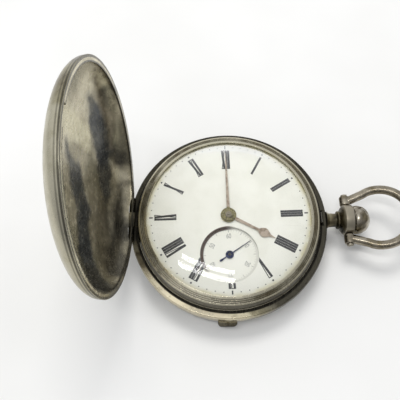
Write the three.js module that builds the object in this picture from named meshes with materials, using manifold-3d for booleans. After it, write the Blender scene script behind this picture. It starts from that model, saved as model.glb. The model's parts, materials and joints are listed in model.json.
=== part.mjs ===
// Key-wound hunter pocket watch, lying on its back with the front cover standing open.
// Millimetres. Origin: centre of the flat on the back cover. +X to the pendant (3 o'clock),
// +Y to 12 o'clock, +Z up through the dial.
import * as THREE from 'three';
import { mergeVertices } from 'three/addons/utils/BufferGeometryUtils.js';
import Module from 'manifold-3d';

const wasm = await Module();
wasm.setup();

// ---------- driving dimensions ----------
const gap = 0.05; // between pieces that touch on the real watch
const caseR = 25; // outer radius of the case band
const backJoin = 4.3; // height where the back cover meets the band
const frontJoin = 7.85; // height where the front cover meets the band
const wall = 0.5; // sheet thickness of the front cover
const coverRise = 6.9; // height of the front cover's dome
const coverShape = 2.4; // exponent of the dome's curve: 2 is an ellipse
const openAngle = 95; // degrees the front cover stands open
const restFlat = 13.5; // radius of the flat on the back cover
const plateR = 21.25; // radius of the movement's main plate
const plateBack = 6.6;
const plateFront = 8.4;
const bridgeBack = 2.9;
const bridgeFront = 3.7;
const bridgeR = 20.5;
const dialBack = 10.1;
const dialTop = 10.7;
const dialTurn = 1; // degrees that the dial sits turned in its case
const pendantZ = 6.1;
const bowPivotX = 30.5;
const bowWireR = 1.12;
const bowLift = 14; // degrees above level, held there by its stiff screws
const bowReach = 8.05; // pivot to the centre of the ring
const bowRingR = 7.45;
const fine = 32; // segments round the case
const medium = 16;
const coarse = 8;

// places of the wheel arbors, seen from the dial side
const polar = (radius, degrees, from = [0, 0]) => {
  const a = THREE.MathUtils.degToRad(degrees);
  return [from[0] + radius * Math.cos(a), from[1] + radius * Math.sin(a)];
};
const centre = [0, 0];
const modBarrel = 0.24;
const modCentre = 0.2;
const modThird = 0.18;
const modFourth = 0.15;
const modMotion = 0.2;
const modHour = 0.192;
const teeth = {
  barrel: 72, centrePinion: 10, centreWheel: 64, thirdPinion: 8, thirdWheel: 60,
  fourthPinion: 8, fourthWheel: 64, escapePinion: 8, escape: 15,
  cannon: 12, minuteWheel: 36, minutePinion: 10, hourWheel: 40, ratchet: 24,
};
const pitchR = (module, count) => (module * count) / 2;
const barrelAt = polar(pitchR(modBarrel, teeth.barrel + teeth.centrePinion), 135);
const fourthAt = [0, -10];
const centreToThird = pitchR(modCentre, teeth.centreWheel + teeth.thirdPinion);
const thirdToFourth = pitchR(modThird, teeth.thirdWheel + teeth.fourthPinion);
const thirdY = (thirdToFourth ** 2 - centreToThird ** 2 - 100) / 20;
const thirdAt = [Math.sqrt(centreToThird ** 2 - thirdY ** 2), thirdY];
const escapeAt = polar(pitchR(modFourth, teeth.fourthWheel + teeth.escapePinion), 200, fourthAt);
const escapeR = 3;
const palletTurn = 150; // direction from the escape wheel to the pallets and the balance
const palletAt = polar(3.7, palletTurn, escapeAt);
const balanceAt = polar(4.42, palletTurn, palletAt);
const balanceR = 6;
const minuteWheelAt = polar(pitchR(modMotion, teeth.cannon + teeth.minuteWheel), 60);

// ---------- materials ----------
const metal = (color, roughness, metalness = 1) =>
  new THREE.MeshStandardMaterial({ color, roughness, metalness });
const silver = () => metal(0x8a8570, 0.38);
const brass = () => metal(0xb8964c, 0.35);
const gilt = () => metal(0xc9a45c, 0.3);
const steel = () => metal(0x9a9c9e, 0.3);
const blued = () => metal(0x2a3350, 0.3);
const gold = () => metal(0xb78d4e, 0.3);
const enamel = () => metal(0xf0efe8, 0.2, 0);
const ruby = () => metal(0xa0203c, 0.1, 0);
const glass = () =>
  new THREE.MeshStandardMaterial({ color: 0xf4f8f8, roughness: 0.03, transparent: true, opacity: 0.25 });

// ---------- solids ----------
function welded(geometry) {
  const g = geometry.clone();
  g.deleteAttribute('normal');
  g.deleteAttribute('uv');
  return mergeVertices(g, 1e-4);
}

function toManifold(geometry) {
  const g = welded(geometry);
  return new wasm.Manifold(new wasm.Mesh({
    numProp: 3,
    vertProperties: new Float32Array(g.attributes.position.array),
    triVerts: new Uint32Array(g.index.array),
  }));
}

function fromManifold(solid) {
  const mesh = solid.getMesh();
  const g = new THREE.BufferGeometry();
  g.setAttribute('position', new THREE.BufferAttribute(mesh.vertProperties, 3));
  g.setIndex(new THREE.BufferAttribute(mesh.triVerts, 1));
  g.computeVertexNormals();
  return g;
}

const join = (first, ...others) =>
  fromManifold(others.reduce((solid, g) => solid.add(toManifold(g)), toManifold(first)));
const cut = (first, ...others) =>
  fromManifold(others.reduce((solid, g) => solid.subtract(toManifold(g)), toManifold(first)));

// profile: [radius, height] pairs, on the axis at both ends or closing on itself
function turned(profile, segments = fine) {
  const points = profile.map(([r, z]) => new THREE.Vector2(r, z));
  const closed = profile[0][0] > 0;
  if (closed) points.push(points[0].clone());
  if (THREE.ShapeUtils.area(points) < 0) points.reverse();
  return new THREE.LatheGeometry(points, segments).rotateX(Math.PI / 2);
}

const disc = (r, low, high, segments = medium) =>
  turned([[0, low], [r, low], [r, high], [0, high]], segments);
const tube = (inner, outer, low, high, segments = medium) =>
  turned([[inner, low], [outer, low], [outer, high], [inner, high]], segments);
const at = (geometry, [x, y]) => geometry.translate(x, y, 0);
const box = (x, y, z, width, depth, height) =>
  new THREE.BoxGeometry(width, depth, height).translate(x, y, z);
const rod = (r, start, end, segments = coarse) => {
  const line = new THREE.Vector3().subVectors(end, start);
  const g = new THREE.CylinderGeometry(r, r, line.length(), segments);
  g.applyQuaternion(new THREE.Quaternion().setFromUnitVectors(
    new THREE.Vector3(0, 1, 0), line.clone().normalize()));
  return g.translate((start.x + end.x) / 2, (start.y + end.y) / 2, (start.z + end.z) / 2);
};
const prism = (shape, low, high, curveSegments = medium) =>
  new THREE.ExtrudeGeometry(shape, { depth: high - low, bevelEnabled: false, curveSegments })
    .translate(0, 0, low);
const outline = (points) => new THREE.Shape(points.map(([x, y]) => new THREE.Vector2(x, y)));

// a strip that follows an arc or a spiral, thick across and running from angle0 to angle1
function strip(radiusAt, thick, angle0, angle1, steps, low, high) {
  const outer = [];
  const inner = [];
  for (let i = 0; i <= steps; i += 1) {
    const turn = angle0 + ((angle1 - angle0) * i) / steps;
    const r = radiusAt(i / steps);
    outer.push(polar(r + thick / 2, turn));
    inner.unshift(polar(r - thick / 2, turn));
  }
  return prism(outline([...outer, ...inner]), low, high);
}

// bar with round ends, from one place to another
function link(from, to, r0, r1, low, high) {
  const turn = Math.atan2(to[1] - from[1], to[0] - from[0]);
  const shape = new THREE.Shape();
  shape.absarc(from[0], from[1], r0, turn + Math.PI / 2, turn + (3 * Math.PI) / 2, false);
  shape.absarc(to[0], to[1], r1, turn - Math.PI / 2, turn + Math.PI / 2, false);
  return prism(shape, low, high, 4);
}

// ---------- toothed wheels ----------
const TIP = 0.9; // height of a tooth over the pitch circle, in modules
const ROOT = 1.5; // depth of the gullet under it

// wheel teeth are pointed, over a pointed gullet
function wheelPoints(count, module, phase) {
  const pitch = 360 / count;
  const r = pitchR(module, count);
  return Array.from({ length: count }, (_, i) => {
    const middle = phase + i * pitch;
    return [
      polar(r + TIP * module, middle),
      polar(r - ROOT * module, middle + 0.5 * pitch),
    ];
  }).flat();
}

// pinion leaves are slimmer than the gullets they run in
function pinionPoints(count, module, phase) {
  const pitch = 360 / count;
  const r = pitchR(module, count);
  return Array.from({ length: count }, (_, i) => {
    const middle = phase + i * pitch;
    return [
      polar(r + 0.8 * module, middle - 0.07 * pitch),
      polar(r + 0.8 * module, middle + 0.07 * pitch),
      polar(r - 1.3 * module, middle + 0.5 * pitch),
    ];
  }).flat();
}

// windows between the spokes of a wheel, between two radii
function crossings(shape, spokes, inner, outer, spokeWidth) {
  for (let i = 0; i < spokes; i += 1) {
    const from = (360 / spokes) * i;
    const sweep = 360 / spokes;
    const trimOut = THREE.MathUtils.radToDeg(spokeWidth / 2 / outer);
    const trimIn = THREE.MathUtils.radToDeg(spokeWidth / 2 / inner);
    const window = [];
    for (let k = 0; k <= 3; k += 1) {
      window.push(polar(outer, from + trimOut + ((sweep - 2 * trimOut) * k) / 3));
    }
    for (let k = 1; k >= 0; k -= 1) {
      window.push(polar(inner, from + trimIn + (sweep - 2 * trimIn) * k));
    }
    shape.holes.push(new THREE.Path(window.map(([x, y]) => new THREE.Vector2(x, y))));
  }
  return shape;
}

function crossedWheel(count, module, phase, low, high) {
  const rim = pitchR(module, count) - 3.2 * module;
  return prism(crossings(outline(wheelPoints(count, module, phase)), 4, 1.5, rim, 0.7), low, high);
}

// angle of the follower's tooth that puts it in mesh with the driver's
function meshPhase(from, to, driverPhase, driverTeeth, followerTeeth) {
  const line = THREE.MathUtils.radToDeg(Math.atan2(to[1] - from[1], to[0] - from[0]));
  const driverPitch = 360 / driverTeeth;
  const followerPitch = 360 / followerTeeth;
  const behind = (((line - driverPhase) / driverPitch) % 1 + 1) % 1;
  return line + 180 + (behind + 0.5) * followerPitch;
}

const phase = { barrel: 0, cannon: 0 };
phase.centrePinion = meshPhase(barrelAt, centre, phase.barrel, teeth.barrel, teeth.centrePinion);
phase.centreWheel = 0;
phase.thirdPinion = meshPhase(centre, thirdAt, phase.centreWheel, teeth.centreWheel, teeth.thirdPinion);
phase.thirdWheel = 0;
phase.fourthPinion = meshPhase(thirdAt, fourthAt, phase.thirdWheel, teeth.thirdWheel, teeth.fourthPinion);
phase.fourthWheel = 0;
phase.escapePinion = meshPhase(
  fourthAt, escapeAt, phase.fourthWheel, teeth.fourthWheel, teeth.escapePinion);
phase.minuteWheel = meshPhase(centre, minuteWheelAt, phase.cannon, teeth.cannon, teeth.minuteWheel);
phase.minutePinion = 0;
phase.hourWheel = meshPhase(minuteWheelAt, centre, phase.minutePinion, teeth.minutePinion, teeth.hourWheel);

// ---------- the watch ----------
const watch = new THREE.Group();
function add(name, geometry, material, place = centre) {
  const mesh = new THREE.Mesh(geometry, material);
  mesh.name = name;
  mesh.position.set(place[0], place[1], 0);
  watch.add(mesh);
  return mesh;
}

// ---------- case hinges ----------
// three knuckles on one pin: the case holds the outer two, the cover the middle one
const knuckleGap = 0.1;
function hinge(axisAt, along, knuckleR, pinR, middle, outer) {
  const point = (distance) => axisAt.clone().addScaledVector(along, distance);
  const span = (r, from, to) => rod(r, point(from), point(to));
  const relief = knuckleR + 0.15;
  return {
    coverKnuckle: span(knuckleR, -middle, middle),
    caseKnuckles: [-1, 1].map((side) => span(knuckleR, side * (middle + knuckleGap), side * outer)),
    bore: span(pinR + gap, -outer - 1, outer + 1),
    pin: span(pinR, -outer, outer),
    caseRelief: span(relief, -middle - knuckleGap, middle + knuckleGap),
    coverReliefs: [-1, 1].map((side) => span(relief, side * middle, side * (outer + knuckleGap))),
  };
}
const X = new THREE.Vector3(1, 0, 0);
const Y = new THREE.Vector3(0, 1, 0);
const frontAxis = new THREE.Vector3(-24.45, 0, 8.4);
const backAxis = new THREE.Vector3(0, 25.3, 4.2);
const dustAxis = new THREE.Vector3(0, 23.3, 4.35);
const frontHinge = hinge(frontAxis, Y, 0.75, 0.35, 2, 6);
const backHinge = hinge(backAxis, X, 0.75, 0.3, 1.7, 5);
const dustHinge = hinge(dustAxis, X, 0.5, 0.2, 1.5, 4);
const hinges = [frontHinge, backHinge, dustHinge];

function coverOnHinge(shell, { coverKnuckle, coverReliefs, bore }) {
  return cut(join(cut(shell, ...coverReliefs), coverKnuckle), bore);
}

// ---------- case ----------
const bandProfile = [
  [23.8, backJoin], [24.8, backJoin], [caseR, 4.8], [caseR, 7.3], [24.75, frontJoin],
  [22.25, frontJoin], [22.25, 8.9], [21.6, 8.9], [21.6, 7.9], [21.35, 7.9], [21.35, 6.95],
  [23.9, 6.95], [23.9, 5.1], [21.6, 5.1], [21.6, 4.7], [23.8, 4.7],
];
const pushBore = rod(1, new THREE.Vector3(22, 0, pendantZ), new THREE.Vector3(27, 0, pendantZ));
const catchSlot = box(23.45, 0, 7.4, 1.1, 4, 1.2);
const springR = 23.4; // middle of the case springs
const springScrewAt = [polar(springR - 0.3, 62), polar(springR - 0.3, 128)];
const band = cut(
  join(
    cut(turned(bandProfile), ...hinges.map((h) => h.caseRelief)),
    ...hinges.flatMap((h) => h.caseKnuckles),
  ),
  ...hinges.map((h) => h.bore),
  pushBore,
  catchSlot,
  ...springScrewAt.map((place) => at(disc(0.35, 4, 5.5, coarse), place)),
);
add('case_middle', band, silver());

const dome = (radius, rise, steps, shape) => Array.from({ length: steps + 1 }, (_, i) => {
  const a = (Math.PI / 2) * (i / steps);
  const onAxis = i === steps;
  return [onAxis ? 0 : radius * Math.cos(a) ** (2 / shape), rise * Math.sin(a) ** (2 / shape)];
});
const coverLow = frontJoin + gap;
const coverR = 24.75;
const lipR = 23.3;
const coverProfile = [
  ...dome(coverR, coverRise, 8, coverShape).map(([r, z]) => [r, coverLow + z]),
  ...dome(coverR - wall, coverRise - wall, 8, coverShape)
    .slice(1).reverse().map(([r, z]) => [r, coverLow + z]),
  [coverR - wall, coverLow + 0.5],
  [lipR, coverLow + 0.4],
  [lipR, coverLow],
];
const closedCover = coverOnHinge(
  cut(turned(coverProfile), box(23.5, 0, coverLow, 1, 4.4, 2)), frontHinge);
const frontCover = new THREE.Group();
frontCover.position.copy(frontAxis);
frontCover.rotation.y = -THREE.MathUtils.degToRad(openAngle);
const frontCoverMesh = new THREE.Mesh(
  closedCover.translate(-frontAxis.x, -frontAxis.y, -frontAxis.z), silver());
frontCoverMesh.name = 'front_cover';
frontCover.add(frontCoverMesh);
watch.add(frontCover);

// covers of the back: a flat in the middle, curving up to the rim
const dish = (flat, rim, low, high, steps) => Array.from({ length: steps + 1 }, (_, i) => {
  const a = (Math.PI / 2) * (i / steps);
  return [flat + (rim - flat) * Math.sin(a), high - (high - low) * Math.cos(a)];
});
const backRim = backJoin - gap;
const backShell = turned([
  [0, 0], ...dish(restFlat, 24.9, 0, backRim, 5),
  ...dish(restFlat, 24.15, 0.65, backRim, 5).reverse(), [0, 0.65],
]);
const thumbLip = box(-0.8, -25.3, backRim - 0.35, 4.6, 1.6, 0.6);
add('back_cover', coverOnHinge(join(backShell, thumbLip), backHinge), silver());

const dustRim = 4.65;
const keyHoles = [centre, barrelAt].map((place) => at(disc(1.5, 0, 3, coarse), place));
const dustShell = turned([
  [0, 1.05], ...dish(13, 23.1, 1.05, dustRim, 4),
  ...dish(13, 22.7, 1.45, dustRim, 4).reverse(), [0, 1.45],
]);
add('dust_cover', coverOnHinge(cut(dustShell, ...keyHoles), dustHinge), silver());

add('front_hinge_pin', frontHinge.pin, steel());
add('back_hinge_pin', backHinge.pin, steel());
add('dust_hinge_pin', dustHinge.pin, steel());

add('glass_bezel', turned([
  [22.3, 7.9], [23.1, 7.9], [23.05, 8.6], [22.7, 8.9], [22.95, 9.5], [22.5, 10.75],
  [22, 11], [20.35, 11.6], [20.35, 11.15], [21.1, 11.15], [21.1, 10.8], [22.3, 10.8],
]), silver());
const crystalTop = 13.7;
const crystalCurve = (r, top, drop) => [r, top - drop * (r / 20.2) ** 3];
add('crystal', turned([
  [20.95, 10.85], [20.95, 11.05], [20.25, 11.1],
  ...[18, 12].map((r) => crystalCurve(r, crystalTop, 2.5)), [0, crystalTop],
  [0, crystalTop - 0.8], ...[12, 18].map((r) => crystalCurve(r, crystalTop - 0.8, 1.9)),
]), glass());

// ---------- springs in the band ----------
const springStrip = (from, to, low, high) => strip(() => springR, 0.5, from, to, 8, low, high);
const springEye = (strips, place) => cut(
  join(...strips, at(disc(0.55, 5.3, 6.7, coarse), place)),
  at(disc(0.35, 5, 7, coarse), place),
);
const catchNub = box(23.55, 0, 6.95, 0.3, 2.8, 3.3);
add('lock_spring', springEye([springStrip(0, 66, 5.3, 6.7), catchNub], springScrewAt[0]), steel());
add('fly_spring', springEye([springStrip(124, 176, 5.3, 6.7)], springScrewAt[1]), steel());
['lock_spring_screw', 'fly_spring_screw'].forEach((name, i) => {
  add(name, disc(0.3, 4.75, 6.85, coarse), blued(), springScrewAt[i]);
});

// ---------- pendant, push piece and bow ----------
// a profile of [radius, distance from the watch's centre] pairs, turned about the pendant's line
const turnedOnX = (profile, segments) =>
  turned(profile, segments).rotateY(Math.PI / 2).translate(0, 0, pendantZ);
const onPendant = (x, y, z = pendantZ) => new THREE.Vector3(x, y, z);
const headR = 3.85; // drum at the pendant's end, which holds the bow and takes the push piece
const pinBores = [-1, 1].map((side) =>
  rod(0.5, onPendant(bowPivotX, side * 2.2), onPendant(bowPivotX, side * 5)));
const pendant = cut(turnedOnX([
  [1, 25.05], [2.3, 25.05], [1.8, 25.7], [1.7, 27.5], [2.35, 27.9], [2.35, 28.2], [1.95, 28.6],
  [3.1, 28.9], [headR, 29.5], [headR, 31.55], [3.5, 31.55], [3.5, 31.05], [1, 31.05],
], medium), ...pinBores);
add('pendant', pendant, silver());

const ballR = 3.6;
add('push_piece', turnedOnX([
  [0, 24], [0.9, 24], [0.9, 31.6], [3.1, 31.6], [ballR, 32.5], [ballR, 33.3],
  [3.2, 34.5], [2.2, 35.5], [1, 36], [0, 36.1],
], medium), silver());

const bowEyeY = 5.05;
const bowHalf = [
  [0.2, bowEyeY], [1.4, bowEyeY + 0.35],
  ...[124, 104, 80, 54, 28].map((degrees) => polar(bowRingR, degrees, [bowReach, 0])),
];
const bowLine = [
  ...bowHalf, [bowReach + bowRingR, 0], ...bowHalf.map(([x, y]) => [x, -y]).reverse(),
].map(([x, y]) => new THREE.Vector3(x, y, 0));
const wireSection = outline(Array.from({ length: 8 }, (_, i) => polar(bowWireR, 45 * i + 22.5)));
const bowWire = new THREE.ExtrudeGeometry(wireSection, {
  steps: 30, bevelEnabled: false, extrudePath: new THREE.CatmullRomCurve3(bowLine),
});
const eyes = [-1, 1].map((side) =>
  rod(1.3, new THREE.Vector3(0, side * 3.92, 0), new THREE.Vector3(0, side * 6.35, 0)));
const eyeBore = rod(0.52, new THREE.Vector3(0, -8, 0), new THREE.Vector3(0, 8, 0));
const bow = new THREE.Mesh(cut(join(bowWire, ...eyes), eyeBore), silver());
bow.name = 'bow';
bow.position.set(bowPivotX, 0, pendantZ);
bow.rotation.y = -THREE.MathUtils.degToRad(bowLift);
watch.add(bow);
[['bow_screw_upper', 1], ['bow_screw_lower', -1]].forEach(([name, side]) => {
  const shank = rod(0.42, onPendant(bowPivotX, side * 2.3), onPendant(bowPivotX, side * 6.5));
  const head = rod(0.85, onPendant(bowPivotX, side * 6.42), onPendant(bowPivotX, side * 6.85));
  add(name, join(shank, head), silver());
});

// ---------- dial and hands ----------
const secondsR = 6.93; // opening of the sunk seconds dial
const dialShape = new THREE.Shape().absarc(0, 0, 21.4, 0, 2 * Math.PI);
dialShape.holes.push(new THREE.Path().absarc(0, 0, 1.4, 0, 2 * Math.PI));
dialShape.holes.push(new THREE.Path().absarc(fourthAt[0], fourthAt[1], secondsR, 0, 2 * Math.PI));
add('dial', prism(dialShape, dialBack, dialTop), enamel());
const secondsDialTop = dialBack - gap;
add('seconds_dial', tube(0.45, 7.4, 9.6, secondsDialTop), enamel(), fourthAt);

// a flat hand that points along +X: widths are half-widths at distances from its axis
function hand(hubR, boreR, widths, low, high) {
  const upper = widths.map(([x, w]) => [x, w]);
  const lower = widths.map(([x, w]) => [x, -w]).reverse();
  const blade = prism(outline([...lower, ...upper].reverse()), low, high);
  return cut(join(disc(hubR, low, high), blade), disc(boreR, low - 1, high + 1));
}
function addHand(name, geometry, material, degrees, place) {
  add(name, geometry, material, place).rotation.z = THREE.MathUtils.degToRad(degrees + dialTurn);
}
const hourHand = hand(1.95, 1.25, [
  [1, 0.45], [8.2, 0.35], [9, 0.95], [9.9, 1.15], [10.7, 0.8], [11.6, 0.3], [12.8, 0.06],
], 10.95, 11.15);
addHand('hour_hand', hourHand, gold(), -30);
const minuteHand = hand(1.6, 0.8, [[-0.5, 0.3], [1, 0.4], [12, 0.25], [17.2, 0.06]], 11.4, 11.6);
addHand('minute_hand', minuteHand, gold(), 90);
const secondsHand = hand(0.9, 0.34, [
  [-2.9, 0.22], [-1.6, 0.12], [1, 0.12], [6.3, 0.04],
], 10.3, 10.42);
addHand('seconds_hand', secondsHand, blued(), 33, fourthAt);

// ---------- motion work ----------
add('setting_arbor', join(disc(0.35, 2.1, 12.1, coarse), box(0, 0, 1.7, 0.9, 0.9, 1)), steel());
const cannonLeaves = prism(outline(pinionPoints(teeth.cannon, modMotion, phase.cannon)), 8.55, 8.95);
const cannonBore = disc(0.4, 8, 13, coarse);
add('cannon_pinion', cut(join(cannonLeaves, disc(0.75, 8.55, 11.75)), cannonBore), steel());
const hourTeeth = prism(outline(wheelPoints(teeth.hourWheel, modHour, phase.hourWheel)), 9.05, 9.4);
add('hour_wheel', cut(
  join(hourTeeth, disc(1.18, 9.05, 11.1)), disc(0.84, 9, 12, medium)), brass());
const minuteTeeth = outline(wheelPoints(teeth.minuteWheel, modMotion, phase.minuteWheel));
const minuteLeaves = outline(pinionPoints(teeth.minutePinion, modHour, phase.minutePinion));
add('minute_wheel', cut(
  join(prism(minuteTeeth, 8.55, 8.9), prism(minuteLeaves, 8.85, 9.45)),
  disc(0.45, 8, 10, coarse)), brass(), minuteWheelAt);

// ---------- plates, bridges and cocks ----------
const hole = (place, r, low = 0, high = 9) => at(disc(r, low, high, coarse), place);
const dialSeat = tube(20.6, 21.5, plateFront - 0.2, dialBack - gap, fine);
const plateFlange = disc(21.5, 7.95, plateFront, fine);
const plate = cut(
  join(disc(plateR, plateBack, 8, fine), plateFlange, dialSeat,
    at(disc(0.4, plateFront - 0.1, 9.5, coarse), minuteWheelAt)),
  hole(centre, 0.85), hole(barrelAt, 1.1), hole(thirdAt, 0.3), hole(fourthAt, 0.4),
  hole(escapeAt, 0.3), hole(palletAt, 0.3), hole(balanceAt, 0.3),
);
add('main_plate', plate, gilt());

const arc = (r, from, to, steps = 10) => Array.from({ length: steps + 1 }, (_, i) =>
  polar(r, from + ((to - from) * i) / steps));
// a bridge is a plate on a wall that follows the movement's edge
function bridge(face, wallFrom, wallTo, ...holes) {
  const edge = strip(() => bridgeR - 0.5, 1, wallFrom, wallTo, 10, bridgeFront - 0.1, plateBack - gap);
  return cut(join(prism(outline(face), bridgeBack, bridgeFront), edge), ...holes);
}
const barrelBridgeScrewAt = [polar(19, 35), polar(19, 172)];
const screwHole = (place) => hole(place, 0.55);
const clickAt = polar(5.4, 80, barrelAt);
add('barrel_bridge', bridge(
  arc(bridgeR, -6, 186), 0, 180,
  hole(centre, 0.85), hole(barrelAt, 1.1), hole(clickAt, 0.35),
  ...barrelBridgeScrewAt.map(screwHole),
), gilt());
const trainBridgeScrewAt = [polar(18.5, -25), polar(18.5, -86)];
add('train_bridge', bridge(
  [[-6.3, -2.6], ...arc(bridgeR, 252.1, 352.7)], 262, 348,
  hole(thirdAt, 0.3), hole(fourthAt, 0.3), hole(escapeAt, 0.3),
  at(disc(6.5, 2, 4.5), balanceAt),
  ...trainBridgeScrewAt.map(screwHole),
), gilt());

const palletFootAt = [-9.6, -14.4];
add('pallet_cock', cut(
  join(link(palletFootAt, palletAt, 1, 0.9, 4.95, 5.35),
    at(disc(1, 5.3, plateBack - gap, coarse), palletFootAt)),
  hole(palletFootAt, 0.45), hole(palletAt, 0.3),
), gilt());
const balanceFootAt = [-8.6, -17.4];
const cockBack = 2.85;
const cockFront = 3.45;
add('balance_cock', cut(
  join(link(balanceFootAt, balanceAt, 1.4, 2.8, cockBack, cockFront),
    at(disc(1.4, cockFront - 0.1, plateBack - gap, coarse), balanceFootAt)),
  hole(balanceFootAt, 0.55), hole(balanceAt, 0.3),
), gilt());
const studAt = polar(2.45, 20, balanceAt);
add('balance_endstone', disc(0.6, cockBack - 0.3, cockBack - gap, coarse), ruby(), balanceAt);

const screw = (seat, headRadius, shankR) => join(
  disc(headRadius, seat - 0.35, seat - gap, coarse), disc(shankR, seat - 0.1, 6.5, coarse));
const bridgeScrews = [
  ['barrel_bridge_screw_1', barrelBridgeScrewAt[0]], ['barrel_bridge_screw_2', barrelBridgeScrewAt[1]],
  ['train_bridge_screw_1', trainBridgeScrewAt[0]], ['train_bridge_screw_2', trainBridgeScrewAt[1]],
];
bridgeScrews.forEach(([name, place]) => add(name, screw(bridgeBack, 0.9, 0.45), blued(), place));
add('balance_cock_screw', screw(cockBack, 0.7, 0.45), blued(), balanceFootAt);
add('pallet_cock_screw', screw(4.95, 0.7, 0.35), blued(), palletFootAt);

// ---------- mainspring and winding ----------
const drum = turned([
  [1.1, 5.95], [8, 5.95], [8, 3.95], [7.5, 3.95], [7.5, 5.5], [1.1, 5.5],
], 24);
const barrelTeeth = prism(outline(wheelPoints(teeth.barrel, modBarrel, phase.barrel)), 4.9, 5.3);
add('barrel', join(cut(barrelTeeth, disc(7.75, 4, 6, 24)), drum), brass(), barrelAt);
add('barrel_cover', tube(1.1, 7.35, 3.95, 4.2, 24), brass(), barrelAt);
add('mainspring', strip((t) => 2.4 + 4.5 * t, 0.28, 0, 1080, 42, 4.35, 5.35), blued(), barrelAt);
const ratchetPoints = Array.from({ length: teeth.ratchet }, (_, i) => [
  polar(3.1, (360 / teeth.ratchet) * i), polar(2.65, (360 / teeth.ratchet) * (i + 0.2)),
]).flat();
add('barrel_arbor', join(
  disc(1, 2.9, 8.1), box(0, 0, 2.2, 1.35, 1.35, 1.6)), steel(), barrelAt);
const squareBore = box(0, 0, 2.5, 1.45, 1.45, 2);
add('ratchet_wheel', cut(prism(outline(ratchetPoints), 2.35, 2.8), squareBore), steel(), barrelAt);
const clickNose = polar(3.3, 46, barrelAt);
const click = join(
  link(clickAt, clickNose, 0.85, 0.16, 2.35, 2.8), at(disc(0.28, 2.7, 3.5, coarse), clickAt));
add('click', click, steel());
const clickSpringFoot = polar(7.6, 62, barrelAt);
const clickSpringTip = polar(6.55, 86, barrelAt);
add('click_spring', link(clickSpringFoot, clickSpringTip, 0.55, 0.14, 2.45, 2.75), blued());

// ---------- going train ----------
// an arbor with its pinion, and its wheel crossed out round a hub
function trainWheel({ wheel, wheelZ, pinion, pinionZ, arborR, ends }) {
  const leaves = prism(outline(pinionPoints(...pinion)), ...pinionZ);
  const hub = disc(0.9, wheelZ[0], wheelZ[1] + 0.02, coarse);
  return join(disc(arborR, ...ends, coarse), leaves, crossedWheel(...wheel, ...wheelZ), hub);
}
const centreArbor = trainWheel({
  wheel: [teeth.centreWheel, modCentre, phase.centreWheel], wheelZ: [6.1, 6.4],
  pinion: [teeth.centrePinion, modBarrel, phase.centrePinion], pinionZ: [4.75, 5.45],
  arborR: 0.75, ends: [2.75, 8.4],
});
add('centre_wheel', cut(centreArbor, disc(0.42, 2, 9, coarse)), brass());
add('third_wheel', trainWheel({
  wheel: [teeth.thirdWheel, modThird, phase.thirdWheel], wheelZ: [4.3, 4.6],
  pinion: [teeth.thirdPinion, modCentre, phase.thirdPinion], pinionZ: [5.65, 6.5],
  arborR: 0.22, ends: [3, 8],
}), brass(), thirdAt);
add('fourth_wheel', trainWheel({
  wheel: [teeth.fourthWheel, modFourth, phase.fourthWheel], wheelZ: [5.2, 5.45],
  pinion: [teeth.fourthPinion, modThird, phase.fourthPinion], pinionZ: [4.15, 4.75],
  arborR: 0.28, ends: [3, 10.5],
}), brass(), fourthAt);

const escapePoints = Array.from({ length: teeth.escape }, (_, i) => {
  const turn = (360 / teeth.escape) * i;
  return [polar(2.2, turn), polar(escapeR, turn + 7), polar(escapeR, turn + 11), polar(2.2, turn + 6)];
}).flat();
add('escape_wheel', join(
  prism(outline(escapePoints), 5.85, 6.05),
  prism(outline(pinionPoints(teeth.escapePinion, modFourth, phase.escapePinion)), 4.95, 5.9),
  disc(0.22, 3, 8, coarse),
), steel(), escapeAt);

// ---------- escapement ----------
// drawn with the line to the balance along +X, then turned onto it
const palletShape = outline([
  [-0.5, -2.1], [-0.95, -2.1], [-0.6, -0.5], [-0.6, 0.5], [-0.95, 2.1], [-0.5, 2.1], [0.1, 0.7],
  [2.9, 0.2], [3.3, 0.45], [3.95, 0.4], [3.5, 0.17], [3.5, -0.17], [3.95, -0.4], [3.3, -0.45],
  [2.9, -0.2], [0.1, -0.7],
].reverse());
const pallets = join(prism(palletShape, 5.85, 6.05), disc(0.2, 4.8, 8, coarse));
add('pallet_fork', pallets.rotateZ(THREE.MathUtils.degToRad(palletTurn)), steel(), palletAt);

const impulsePin = at(disc(0.11, 5.65, 6.1, 6), polar(0.72, palletTurn + 180));
const balanceRim = crossings(
  new THREE.Shape().absarc(0, 0, balanceR, 0, 2 * Math.PI), 3, 0.8, balanceR - 0.7, 0.6);
add('balance_wheel', join(
  prism(balanceRim, 4.25, 4.7, 14),
  disc(0.22, 2.9, 8, coarse), disc(1, 5.45, 5.7, coarse), disc(0.6, 3.5, 3.85, coarse),
  impulsePin,
), gilt(), balanceAt);
add('hairspring', strip((t) => 0.85 + 1.35 * t, 0.12, 20, 1100, 36, 3.55, 3.8), blued(), balanceAt);
add('hairspring_stud', disc(0.18, 3.5, 3.85, coarse), steel(), studAt);
const regulatorArm = link([0.9, 0], [5.2, 0], 0.45, 0.12, 2.55, 2.8);
add('regulator', cut(
  join(regulatorArm, disc(1.3, 2.55, 2.8)), disc(0.75, 2, 3),
).rotateZ(THREE.MathUtils.degToRad(60)), steel(), balanceAt);

export default watch;
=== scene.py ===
"""A key-wound hunter pocket watch, lying on its back with its front cover open."""
import json
from math import atan2, cos, degrees, hypot, pi, radians, sin

import bmesh
import bpy
from mathutils import Matrix, Vector, noise


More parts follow.
